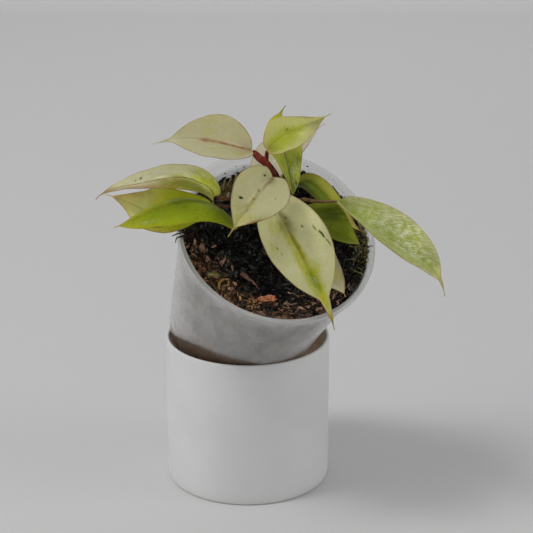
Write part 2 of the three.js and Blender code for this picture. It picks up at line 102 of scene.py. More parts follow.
def make_piece(name, points, faces, attributes=None, uvs=None):
    mesh = bpy.data.meshes.new(name)
    mesh.from_pydata((np.asarray(points) * MM).tolist(), [], [list(f) for f in faces])
    store_values(mesh, attributes or {})
    corners = np.zeros(len(mesh.loops), np.int32)
    mesh.loops.foreach_get("vertex_index", corners)
    for key, values in (uvs or {}).items():
        layer = mesh.uv_layers.new(name=key)
        layer.uv.foreach_set("vector", np.asarray(values, np.float32)[corners].ravel())
    set_smooth(mesh, True)
    mesh.update()
    return add_object(name, mesh)


def grid_faces(rows, columns, start=0, flip=False, closed=False):
    across = np.arange(columns if closed else columns - 1)
    i, j = np.meshgrid(np.arange(rows - 1), across, indexing="ij")
    k = (j + 1) % columns
    a, b = start + i * columns + j, start + (i + 1) * columns + j
    c, d = start + (i + 1) * columns + k, start + i * columns + k
    quads = np.stack([a, d, c, b] if flip else [a, b, c, d], -1)
    return quads.reshape(-1, 4).tolist()


def finish_piece(piece, material, slot, *nodes):
    piece.data.materials.clear()
    piece.data.materials.append(material)
    if nodes:
        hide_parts(*nodes)
    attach(piece, "root")
    print(piece.name, "polygons:", len(piece.data.polygons))


# %% [markdown]
# ## Node helpers
# Materials are built from nodes in code, and short helpers keep that readable. One makes a node and
# plugs its inputs, one mixes two colours by a mask, and one turns a screen colour into the linear
# light that shaders work in. The others stand for a sum, a product, a soft step, a noise, a value
# stored on the points, a bump, and a new group or material.

# %% Node helpers: colours and sums
def tone(red, green, blue, gain=1.0):
    share = np.array([red, green, blue]) / 255
    linear = np.where(share <= 0.04045, share / 12.92, ((share + 0.055) / 1.055) ** 2.4) * gain
    return (*np.clip(linear, 0, 0.95).tolist(), 1.0)


def feed(tree, target, values):
    for key, value in values.items():
        socket = target.inputs[key]
        if isinstance(value, bpy.types.NodeSocket):
            tree.links.new(value, socket)
        else:
            socket.default_value = value


def node(tree, kind, inputs=None, **settings):
    made = tree.nodes.new(kind)
    for key, value in settings.items():
        setattr(made, key, value)
    feed(tree, made, inputs or {})
    return made


def maths(tree, operation, *values, clamp=False):
    made = node(tree, "ShaderNodeMath", dict(enumerate(values)), operation=operation, use_clamp=clamp)
    return made.outputs[0]


def plus(tree, first, second):
    return maths(tree, "ADD", first, second)


def times(tree, first, second):
    return maths(tree, "MULTIPLY", first, second)


def vector_maths(tree, operation, inputs):
    return node(tree, "ShaderNodeVectorMath", inputs, operation=operation).outputs


def blend_colour(tree, mask, first, second, mode="MIX"):
    inputs = {0: mask, 6: first, 7: second}
    return node(tree, "ShaderNodeMix", inputs, data_type="RGBA", blend_type=mode).outputs[2]


def dimmed(tree, colour, share):
    grey = node(tree, "ShaderNodeCombineColor", {0: share, 1: share, 2: share}).outputs[0]
    return blend_colour(tree, 1.0, colour, grey, "MULTIPLY")


def span(tree, value, low, high, to_low=0.0, to_high=1.0):
    inputs = {0: value, 1: low, 2: high, 3: to_low, 4: to_high}
    return node(tree, "ShaderNodeMapRange", inputs, interpolation_type="SMOOTHSTEP").outputs[0]


# %% Node helpers: places, noise, groups and materials
def noise(tree, vector, scale, detail=3.0, rough=0.55, distortion=0.0):
    inputs = {"Vector": vector, "Scale": scale, "Detail": detail}
    inputs |= {"Roughness": rough, "Distortion": distortion}
    return node(tree, "ShaderNodeTexNoise", inputs).outputs["Fac"]


def attribute(tree, name):
    return node(tree, "ShaderNodeAttribute", attribute_name=name).outputs["Fac"]


def object_place(tree):
    return node(tree, "ShaderNodeTexCoord").outputs["Object"]


def bump(tree, height, depth):
    inputs = {"Height": height, "Distance": depth, "Strength": 1.0}
    return node(tree, "ShaderNodeBump", inputs).outputs[0]


def new_group(name, inputs, outputs, kind="ShaderNodeTree"):
    tree = bpy.data.node_groups.new(name, kind)
    for label, value_kind, value in inputs:
        socket = tree.interface.new_socket(label, in_out="INPUT", socket_type="NodeSocket" + value_kind)
        if value is not None:
            socket.default_value = value
    for label, value_kind in outputs:
        tree.interface.new_socket(label, in_out="OUTPUT", socket_type="NodeSocket" + value_kind)
    given = tree.nodes.new("NodeGroupInput").outputs
    return tree, given, tree.nodes.new("NodeGroupOutput")


def new_material(name, fixed):
    material = bpy.data.materials.new(name)
    material.use_nodes = True
    shader = material.node_tree.nodes["Principled BSDF"]
    feed(material.node_tree, shader, fixed)
    return material, material.node_tree, shader


# %% [markdown]
# ## The leaves: one rule for every blade
# Each blade hangs on its midrib, a curve of four points. Across it the two halves widen and narrow
# by an outline rule of four numbers: how it rises, how it falls, where it ends and how much of a
# tail it has. They fold up a little like an open book, and the whole blade may roll along its
# length. The same rule made the coarse solids, so the fine blades below lie exactly on them. Fine
# extras come on top: a sunken midrib, a wavy margin, a thinner edge and a hair-thin tip.

# %% The blade rule
TAIL_SHARE, TAIL_POWER = 0.25, 1.25
NARROWEST_HALF = 0.25


def midrib(leaf, t):
    a, b, c, d = (np.array(p, float) for p in leaf["midrib"])
    t = t[:, None]
    u = 1 - t
    place = u**3 * a + 3 * u * u * t * b + 3 * u * t * t * c + t**3 * d
    way = 3 * (u * u * (b - a) + 2 * u * t * (c - b) + t * t * (d - c))
    return place, unit(way)


def outline(leaf, t):
    rise, fall, fullest, tail = leaf["outline"]
    s = np.clip(t / fullest, 0, 1)
    peak = rise / (rise + fall)
    body = s**rise * (1 - s) ** fall / (peak**rise * (1 - peak) ** fall)
    run = tail * ((1 - t) / TAIL_SHARE) ** TAIL_POWER * smooth(t, 0.3, 0.75)
    return np.hypot(body, run)


def blade_surface(leaf, t, v):
    place, way = midrib(leaf, t)
    flat = unit(POT_AXIS - (way @ POT_AXIS)[:, None] * way)
    roll = np.radians(leaf["turn"][0] + (leaf["turn"][1] - leaf["turn"][0]) * t)[:, None]
    face = flat * np.cos(roll) + np.cross(way, flat) * np.sin(roll)
    side = np.cross(face, way)
    shape = outline(leaf, t)[:, None]
    wander = sum((mm * bell(t, t0, reach) for t0, reach, mm in leaf.get("wander", [])), 0 * t)[:, None]
    right = v > 0
    half = np.where(right, leaf["half"][0], leaf["half"][1])
    fold = np.where(right, leaf["fold"][0], leaf["fold"][1])
    full = np.maximum(half * shape - np.sign(v) * wander, NARROWEST_HALF)
    width = full * np.abs(v)
    angle = np.radians(fold + leaf["curl"] * np.abs(v))
    back = leaf["lobe"] * (1 - t[:, None]) ** 4 * np.minimum(1, 2.5 * shape) * v**2
    points = place[:, None] + side[:, None] * (wander + np.sign(v) * width * np.cos(angle))[..., None]
    points += face[:, None] * (width * np.sin(angle))[..., None] - way[:, None] * back[..., None]
    return points, width, full


# %% [markdown]
# ## Where each leaf is green, pale, dark or spotted
# Variegation is painted in the leaf's own coordinates: t runs from base to tip and v from one
# margin (-1) over the midrib (0) to the other (+1). A patch is a soft oval with a centre, two
# radii and a strength. The patches only say roughly where green tissue lies. The material breaks
# their edges up along the veins. A spot is small, so its length and width are in millimetres.

# %% Patches, shades and spots on a blade
EDGE_WIDTH, TIP_FADE = 0.42, 0.8


def patches(t, v, listed):
    clear = np.ones_like(v)
    for *place, strength in listed:
        clear *= 1 - strength * oval(t, v, *place)
    return 1 - clear


# Painted light and shade: each listed oval makes the blade lighter or darker there.
def painted_shades(t, v, listed):
    gain = np.ones_like(v)
    for *place, more in listed:
        gain *= 1 + more * oval(t, v, *place)
    return gain


def spots(along, across, t, listed, length, half):
    mask = np.zeros_like(t)
    for t0, v0, long, wide, lean, strength in listed:
        k = int(np.argmin(np.abs(t[:, 0] - t0)))
        x = across - v0 * half[k, 0 if v0 < 0 else -1]
        y = along - t0 * length
        a = math.radians(lean)
        p = (y * math.cos(a) + x * math.sin(a)) / (long / 2)
        q = (x * math.cos(a) - y * math.sin(a)) / (wide / 2)
        mask = np.maximum(mask, strength * (1 - smooth(np.hypot(p, q), 0.6, 1.8)))
    return mask


def blade_masks(leaf, t, v, across, half, length):
    line_from, line_to, line_width, line_strength = leaf["rib"]
    lined = smooth(t, line_from - 0.02, line_from + 0.04) * (1 - smooth(t, line_to - 0.25, line_to))
    margins, halves = np.array(leaf["margin"]) * [1, 1], leaf.get("halves", (1, 1))
    # Painted light and shade: the halves, the run along the length and the listed ovals lighten or darken
    # the blade.
    painted_side_light = halves[1] + (halves[0] - halves[1]) * smooth(v, -0.15, 0.15)
    painted_run_light = np.interp(t, *zip(*leaf.get("run", [(0, 1)])))
    at_edge = bell(half * (1 - np.abs(v)), 0, EDGE_WIDTH)
    masks = {key: patches(t, v, leaf.get(key, [])) for key in ("green", "deep", "stain", "speck")}
    masks["tip"] = smooth(t, *leaf["tip_from"])
    masks["spot"] = spots(t * length, across, t, leaf.get("spots", []), length, half)
    masks["rib"] = line_strength * lined * bell(across, 0, line_width)
    masks["margin"] = np.where(v > 0, *margins) * at_edge * (1 - TIP_FADE * smooth(t, 0.86, 0.97))
    # The half value carries this painted light and shade.
    masks["half"] = painted_side_light * painted_run_light * painted_shades(t, v, leaf.get("painted_shades", []))
    # The light value marks painted glints.
    masks["light"] = spots(t * length, across, t, leaf.get("lights", []), length, half)
    return masks


# %% Build one blade as a closed mesh
ROWS, COLUMNS = 111, 45
ROW_SHARES, COLUMN_SHARES = (0.55, 0.45), (0.65, 0.35)
MIDDLE_THICK, EDGE_THINNER = 0.34, 0.14
WAVE_LIFT, VEIN_LIFT, GROOVE_ABOVE, GROOVE_BELOW, GROOVE_WIDTH = 0.22, 0.035, 0.16, 0.42, 0.55
VEIN_SLOPE = 1.6


def blade_relief(name, t, v, across, half, length, slope):
    seed = sum(map(ord, name)) % 7
    grown = smooth(half, 2, 8)
    ripple = np.sin(t * 15 + seed + 1.1 * np.sign(v)) + 0.6 * np.sin(t * 31 + 2.3 * seed - np.sign(v))
    lift = WAVE_LIFT * ripple * np.abs(v) ** 2.5 * grown
    veins = np.sin((t * length - 0.6 * slope * np.abs(across)) * 1.5)
    lift += VEIN_LIFT * veins * smooth(np.abs(v), 0.03, 0.3) * (1 - smooth(np.abs(v), 0.7, 1)) * grown
    return lift, bell(across, 0, GROOVE_WIDTH) * grown * (1 - 0.5 * t)


def closed_blade_faces(rows, columns):
    count = rows * columns
    faces = grid_faces(rows, columns, 0) + grid_faces(rows, columns, count, flip=True)
    rim = [i * columns for i in range(rows)] + [(rows - 1) * columns + j for j in range(1, columns)]
    rim += [i * columns + columns - 1 for i in range(rows - 2, -1, -1)] + list(range(columns - 2, 0, -1))
    return faces + [(a, count + a, count + b, b) for a, b in zip(rim, rim[1:] + rim[:1])]


def make_blade(name, leaf):
    rows, columns = leaf.get("grid", (ROWS, COLUMNS))
    u, c = np.linspace(0, 1, rows), np.linspace(-1, 1, columns)
    t = ROW_SHARES[0] * u + ROW_SHARES[1] * (0.5 - 0.5 * np.cos(np.pi * u))
    v = (COLUMN_SHARES[0] * c + COLUMN_SHARES[1] * c * np.abs(c))[None, :] * np.ones((rows, 1))
    points, width, half = blade_surface(leaf, t, v)
    length = float(np.linalg.norm(np.diff(midrib(leaf, t)[0], axis=0), axis=1).sum())
    t, across, slope = t[:, None] * np.ones_like(v), np.sign(v) * width, leaf.get("slope", VEIN_SLOPE)
    lift, groove = blade_relief(name, t, v, across, half, length, slope)
    out = unit(np.cross(np.gradient(points, axis=0), np.gradient(points, axis=1)))
    thick = MIDDLE_THICK - EDGE_THINNER * np.abs(v) ** 2
    upper = points + out * (lift + thick / 2 - GROOVE_ABOVE * groove)[..., None]
    lower = points + out * (lift - thick / 2 - GROOVE_BELOW * groove)[..., None]
    masks = blade_masks(leaf, t, v, across, half, length)
    both = {key: np.tile(mask.ravel(), 2) for key, mask in masks.items()}
    both["upper"] = np.repeat([1.0, 0.0], rows * columns)
    vein = np.stack([(t * length - slope * np.abs(across)) / 10, across / 10], -1).reshape(-1, 2)
    flat_uv = np.stack([v * 0.5 + 0.5, t], -1).reshape(-1, 2)
    uvs = {"blade": np.tile(flat_uv, (2, 1)), "veins": np.tile(vein, (2, 1))}
    all_points = np.concatenate([upper.reshape(-1, 3), lower.reshape(-1, 3)])
    return make_piece(name, all_points, closed_blade_faces(rows, columns), both, uvs)


# %% [markdown]
# ## Thirteen leaves
# Each leaf holds its shape and its paint. The shape values are those of the solids, and a wander of
# the midrib is added to one leaf. The five tones are plain screen colours: pale tissue, green
# tissue, the deepest green, the tip, and the line of the midrib. The lists of patches, stains,
# specks and spots follow the living plant leaf by leaf. The light marks are painted glints. The
# shades, runs and halves are painted light and shade: they lighten or darken zones, lengths and
# sides of a blade in place of the light and shade that fall on it.

# %% Leaves of the centre and the front
LEAVES = {
    "leaf_upper_left": {
        # Painted light and shade: the halves lighten one half of the blade and darken the other. The light
        # mark is a painted glint beside the midrib.
        "midrib": [(3, -48, 223.5), (-19, -56.5, 231.5), (-29.5, -60, 237.5), (-52.5, -60, 231)],
        "turn": (6, -33), "half": (16, 16), "fold": (19, 23), "curl": 9, "halves": (0.91, 1.12), "lobe": 2,
        "outline": (0.65, 1.07, 0.85, 0.12),
        "tones": [(178, 173, 140), (168, 166, 66), (120, 126, 60), (200, 203, 176), (160, 112, 68)],
        "green": [(0.1, 0.5, 0.25, 0.45, 0.4), (0.45, 0.3, 0.2, 0.4, 0.3), (0.45, -0.75, 0.08, 0.15, 0.45),
                  (0.45, -0.35, 0.1, 0.2, 0.4)],
        "stain": [(0.02, 0.1, 0.1, 0.5, 0.4), (0.47, 0.03, 0.05, 0.08, 0.8)],
        "speck": [(0.5, 0, 0.6, 1, 0.2)],
        "lights": [(0.17, -0.1, 11, 0.9, 0, 0.75)],
        "tip_from": (0.7, 0.95), "rib": (0, 0.62, 0.95, 1), "margin": 0.75, "slot": "leaf_cream",
    },
    "leaf_centre_round": {
        # Painted light and shade: the listed ovals lighten and darken a few zones of the blade.
        "painted_shades": [(0.35, -0.1, 0.2, 0.1, 0.25), (0.6, 0.85, 0.12, 0.3, -0.2),
                   (0.06, -0.2, 0.05, 0.5, -0.14), (0.75, -0.5, 0.08, 0.6, 0.15)],
        "midrib": [(15, -61, 212), (3.5, -91.5, 206), (0.5, -91.5, 204), (-9.5, -99, 190)],
        "turn": (-8, 3), "half": (17, 16), "fold": (16, 17), "curl": 3, "lobe": 5.5,
        "outline": (0.58, 1.08, 0.88, 0.12),
        "tones": [(170, 167, 127), (158, 152, 80), (70, 78, 28), (156, 144, 84), (128, 104, 62)],
        "stain_tone": (134, 100, 56), "grid": (131, 65),
        "green": [(0.75, 0, 0.22, 0.9, 0.7), (0.5, 0, 0.3, 0.2, 0.35), (0, -0.4, 0.12, 0.4, 0.3),
                  (0.35, -0.7, 0.2, 0.25, 0.3)],
        "stain": [(0.71, 0.96, 0.09, 0.14, 1), (0.66, 0.98, 0.07, 0.1, 1), (0.02, 0.1, 0.045, 0.25, 0.9),
                  (0.058, 0.05, 0.03, 0.1, 1), (0.13, -0.03, 0.04, 0.07, 0.55),
                  (0.235, -0.1, 0.022, 0.06, 1), (0.29, -0.08, 0.03, 0.05, 0.7),
                  (0.37, -0.05, 0.03, 0.06, 0.8), (0.43, -0.06, 0.03, 0.05, 0.55),
                  (0.52, -0.1, 0.03, 0.05, 0.4), (0.6, 0.03, 0.04, 0.07, 0.6),
                  (0.12, -0.3, 0.02, 0.05, 0.35)],
        "speck": [(0.4, 0, 0.6, 1, 0.2)],
        "spots": [(0.5, -0.5, 2.7, 1.5, -50, 1), (0.065, -0.45, 1.5, 0.8, -40, 0.9),
                  (0.235, -0.1, 0.9, 0.7, 0, 0.6), (0.245, 0.55, 1.1, 0.8, 20, 0.7)],
        "tip_from": (0.72, 0.98), "rib": (0.03, 0.8, 0.8, 0.3), "margin": 0.95, "slot": "leaf_cream",
    },
    "leaf_front_large": {
        # Painted light and shade: the listed ovals and the run lighten the base, which lies in the round
        # leaf's shade, and darken the middle and one margin. The olive stains by the base are partly real
        # stains and partly painted shade of that leaf.
        "painted_shades": [(0.26, 0.06, 0.09, 0.28, 0.18), (0.15, 0.6, 0.06, 0.3, 0.25),
                   (0.36, -0.3, 0.08, 0.4, 0.2), (0.66, 0.1, 0.06, 0.4, 0.2), (0.78, -0.2, 0.12, 0.8, 0.14),
                   (0.3, 0.95, 0.1, 0.2, -0.2)],
        "midrib": [(14.5, -52.5, 196.5), (35, -93, 165.5), (45, -99, 156.5), (49, -104.5, 137.5)],
        "turn": (6, 17), "half": (20, 19), "fold": (17, 13), "curl": 1, "lobe": 4.5,
        "outline": (0.58, 1.01, 0.7, 0.12),
        "tones": [(178, 176, 132), (156, 155, 28), (120, 132, 0), (136, 130, 52), (106, 104, 30)],
        "stain_tone": (118, 110, 54), "grid": (151, 89),
        "run": [(0, 1.15), (0.3, 1.11), (0.42, 0.98), (0.6, 0.92), (1, 1.0)], "ior": 1.3,
        "green": [(0.52, -0.04, 0.15, 0.34, 0.97), (0.42, 0.3, 0.08, 0.3, 0.4), (0.62, -0.2, 0.1, 0.6, 0.6),
                  (0.7, 0, 0.1, 0.8, 0.8), (0.92, 0, 0.16, 1.2, 0.85), (0.27, -0.1, 0.16, 0.12, 0.6),
                  (0.3, 0.05, 0.16, 0.09, 0.75), (0.36, -0.16, 0.12, 0.2, 0.5),
                  (0.14, -0.35, 0.09, 0.45, 0.5), (0.25, -0.7, 0.05, 0.25, 0.35)],
        "deep": [(0.5, -0.04, 0.085, 0.2, 0.95), (0.58, 0.02, 0.07, 0.2, 0.7)],
        "stain": [(0.13, 0.12, 0.05, 0.12, 0.8), (0.08, 0.05, 0.05, 0.1, 0.6),
                  (0.24, 0.03, 0.08, 0.05, 0.5), (0.13, -0.14, 0.05, 0.12, 0.6)],
        "speck": [(0.4, 0, 0.5, 1, 0.3)],
        "spots": [(0.245, -0.62, 1.1, 0.8, 10, 0.75), (0.285, -0.57, 1.8, 0.6, -15, 0.6),
                  (0.225, -0.75, 0.8, 0.6, 0, 0.45), (0.1, 0.13, 1.3, 0.7, 30, 0.8),
                  (0.175, 0.43, 1.4, 0.9, 30, 0.75), (0.155, -0.55, 0.9, 0.7, 0, 0.4),
                  (0.216, 0.7, 3.2, 0.55, 6, 0.95), (0.27, 0.8, 4.2, 1.0, 8, 1),
                  (0.25, 0.755, 1.6, 0.7, 8, 0.8), (0.33, 0.88, 4.4, 0.55, 8, 0.95),
                  (0.375, -0.45, 1.0, 0.7, 0, 0.45), (0.31, 0.55, 0.9, 0.6, 0, 0.35)],
        "tearing": 0.6, "tip_from": (0.8, 0.97), "rib": (0.03, 0.55, 1.0, 0.5), "margin": 0.8,
        "slot": "leaf_cream",
    },
    "leaf_front_under": {
        "midrib": [(36.5, -50.5, 176), (28.5, -64.5, 161), (53.5, -76, 156), (56, -79, 147)],
        "turn": (-9, -8), "half": (14, 14), "fold": (13, 16), "curl": 1, "lobe": 2.5,
        "outline": (0.62, 1.07, 0.93, 0.11),
        "tones": [(209, 200, 164), (214, 202, 124), (139, 140, 69), (214, 172, 130), (120, 100, 66)],
        "green": [(0.66, 0.5, 0.12, 0.4, 0.7), (0.2, 0, 0.25, 0.5, 0.5)],
        "stain": [(0.8, 0.9, 0.2, 0.2, 0.4)],
        "speck": [(0.5, 0, 0.6, 1, 0.2)],
        "tip_from": (0.86, 1), "rib": (0, 0.9, 0.6, 0.4), "margin": 0.8, "slot": "leaf_tan",
    },
}

# %% Leaves of the right side
LEAVES |= {
    "leaf_right_long": {
        # Painted light: the listed ovals lighten a few zones of the blade.
        "painted_shades": [(0.45, 0.5, 0.12, 0.5, 0.26), (0.66, 0.1, 0.06, 0.3, 0.3), (0.76, 0.4, 0.06, 0.4, 0.4),
                   (0.12, 0.2, 0.08, 0.4, 0.2)],
        "midrib": [(52.5, -50.5, 194), (89, -81.5, 172), (107, -85, 173), (112.5, -74, 145.5)],
        "turn": (-17, 23), "half": (16.5, 16), "fold": (23, 22), "curl": 12, "lobe": 2,
        "outline": (0.57, 1.12, 0.83, 0.14),
        "tones": [(204, 198, 176), (134, 143, 52), (124, 140, 27), (180, 177, 113), (120, 124, 52)],
        "grid": (131, 55),
        "green": [(0.3, 0, 0.5, 1.6, 0.95), (0.68, 0.1, 0.15, 0.8, 0.6)],
        "deep": [(0.655, 0.3, 0.045, 0.4, 0.85), (0.2, 0.12, 0.25, 0.08, 0.5), (0.05, 0.3, 0.1, 0.6, 0.4)],
        "stain": [(0.3, -1, 0.4, 0.14, 0.5)],
        "speck": [(0.33, 0.45, 0.24, 0.65, 1), (0.55, 0.2, 0.2, 0.6, 0.85), (0.3, -0.5, 0.3, 0.4, 0.45)],
        "slope": 2.3, "tip_from": (0.68, 0.85), "rib": (0, 0.9, 0.5, 0.35), "margin": (0.45, 0.8),
        "slot": "leaf_green",
    },
    "leaf_right_olive": {
        "midrib": [(30, -19, 194.5), (40.5, -25, 205), (57.5, -49.5, 173.5), (70, -41.5, 172.5)],
        "turn": (-3, -17), "half": (7.5, 8), "fold": (16, 3), "curl": 4, "lobe": 2,
        "outline": (0.55, 1.11, 0.89, 0.11),
        "tones": [(155, 155, 62), (93, 108, 17), (38, 52, 2), (166, 157, 92), (70, 76, 26)],
        "green": [(0.2, -0.3, 0.4, 0.7, 1), (0.5, -0.5, 0.3, 0.6, 0.8)],
        "deep": [(0.05, -0.7, 0.25, 0.6, 0.95), (0.35, -0.9, 0.3, 0.4, 0.6)],
        "tearing": 0.35, "marbling": 0.0, "tip_from": (0.55, 0.8), "rib": (0, 0.8, 0.4, 0.15),
        "margin": 0.9, "slot": "leaf_olive",
    },
    "leaf_right_dark": {
        # Painted light and shade: the halves lighten one half of the blade and darken the other.
        "midrib": [(30.5, -42.5, 184), (41, -54, 183), (50, -61.5, 180.5), (64.5, -56.5, 170.5)],
        "turn": (-16, -2), "half": (15, 15), "fold": (28, 21), "curl": 3, "halves": (1.15, 0.83), "lobe": 3,
        "outline": (0.62, 1.04, 1, 0.1),
        "tones": [(130, 146, 51), (104, 114, 26), (72, 85, 11), (125, 128, 50), (88, 96, 34)],
        "green": [(0.3, 0, 0.5, 1.6, 1), (0.7, -0.2, 0.2, 0.8, 0.9)],
        "deep": [(0.42, 0.45, 0.2, 0.4, 0.85), (0.2, 0, 0.2, 0.7, 0.6), (0.6, 0.9, 0.2, 0.3, 0.5)],
        "tearing": 0.7, "marbling": 0.3, "tip_from": (0.8, 1), "rib": (0, 0.8, 0.4, 0.3), "margin": 0.5,
        "slot": "leaf_olive",
    },
}

# %% Leaves of the top
# Painted glints: the bright marks at the base of the upright leaf.
BASE_GLINTS_PAINTED = (
    (0.045, -0.7), (0.05, -0.9), (0.06, -0.5), (0.075, -0.35), (0.085, -0.75), (0.1, -0.2), (0.11, -0.55),
    (0.12, -0.85), (0.125, 0.15), (0.14, -0.27), (0.145, -0.65), (0.16, -0.45), (0.17, -0.8), (0.19, -0.1),
    (0.19, -0.55), (0.21, -0.3),
)
LEAVES |= {
    "leaf_top_lime": {
        # Painted light and shade: the halves lighten the half on the v > 0 side and darken the other, and
        # the listed ovals lighten and darken a few zones.
        "painted_shades": [(0.08, -0.6, 0.08, 0.5, -0.25), (0.62, -0.2, 0.1, 0.3, 0.36),
                   (0.72, -0.35, 0.08, 0.25, 0.22), (0.8, 0.4, 0.07, 0.4, -0.12)],
        "midrib": [(12, -53.5, 225.5), (25, -59.5, 241), (26, -61.5, 238.5), (47.5, -56, 247.5)],
        "turn": (4, 51), "half": (11.5, 12.5), "fold": (27, 19), "curl": 13, "halves": (1.28, 0.86),
        "lobe": 1.5,
        "outline": (0.7, 1.06, 0.95, 0.12),
        "tones": [(179, 178, 119), (157, 163, 37), (118, 134, 29), (184, 182, 96), (122, 128, 44)],
        "green": [(0.14, -0.2, 0.26, 0.7, 1), (0.4, -0.15, 0.24, 0.5, 0.95), (0.66, 0.05, 0.18, 0.25, 0.6),
                  (0.9, -0.3, 0.1, 0.8, 0.3)],
        "deep": [(0.03, 0, 0.05, 0.6, 0.5), (0.4, 0.2, 0.05, 0.09, 0.6)],
        "stain": [(0.02, 0, 0.05, 1, 0.4), (0.75, 0.95, 0.08, 0.16, 0.6)],
        "speck": [(0.5, 0, 0.6, 1, 0.25)],
        "spots": [(0.41, 0.18, 3.6, 1, 18, 0.55), (0.53, -0.32, 2, 0.6, -15, 0.3)],
        "tip_from": (0.85, 1), "rib": (0, 0.85, 0.45, 0.08), "margin": 0.7, "slot": "leaf_lime",
    },
    "leaf_top_upright": {
        # Painted light and shade: the listed ovals lighten one zone near the base and darken another. The
        # light marks are painted glints, and the first speck patch lies on them, so its pale flecks there
        # are partly painted glints.
        "painted_shades": [(0.15, -0.6, 0.05, 0.5, 0.2), (0.25, -0.8, 0.05, 0.3, -0.3)],
        "midrib": [(26.5, -42.5, 195.5), (24, -40, 221), (12, -37, 234.5), (22.5, -32, 245.5)],
        "turn": (49, -7), "half": (16.5, 16), "fold": (15, 11), "curl": -1, "lobe": 0, "ior": 1.2,
        "outline": (0.7, 1.08, 0.88, 0.13),
        "tones": [(177, 176, 60), (126, 135, 4), (83, 92, 2), (136, 145, 54), (84, 90, 24)],
        "green": [(0.2, 0, 0.3, 1.4, 1), (0.5, 0, 0.15, 0.8, 0.6), (0.9, 0, 0.1, 1, 0.4)],
        "deep": [(0.05, -0.4, 0.06, 0.8, 0.95), (0.12, 0.1, 0.1, 0.35, 0.8), (0.3, 0, 0.18, 0.14, 0.6),
                 (0.1, 0.8, 0.15, 0.4, 0.5), (0.26, -0.5, 0.06, 0.5, 0.45)],
        "speck": [(0.14, -0.5, 0.09, 0.4, 0.3), (0.4, 0, 0.4, 1, 0.25)],
        "lights": [(t0, v0, 0.9, 0.55, 20, 0.9) for t0, v0 in BASE_GLINTS_PAINTED],
        "grid": (181, 91),
        "tip_from": (0.8, 1), "rib": (0, 0.7, 0.6, 0.55), "margin": 0.7, "slot": "leaf_lime",
    },
    "leaf_top_behind": {
        "midrib": [(12.5, -19, 203), (9.5, -22.5, 209.5), (32.5, -17, 222), (45.5, -9, 228)],
        "turn": (-23, -12), "half": (14.5, 14.5), "fold": (7, 13), "curl": -5, "lobe": 3,
        "outline": (0.59, 1.07, 0.9, 0.1),
        "tones": [(168, 161, 142), (156, 158, 94), (120, 126, 50), (176, 170, 158), (136, 130, 80)],
        "green": [(0.5, 0.5, 0.22, 0.6, 0.8), (0.65, 0, 0.15, 0.35, 0.4)],
        "speck": [(0.5, 0, 0.6, 1, 0.3)],
        "tip_from": (0.82, 1), "rib": (0, 0.8, 0.5, 0.4), "margin": 0.8, "slot": "leaf_cream",
    },
}

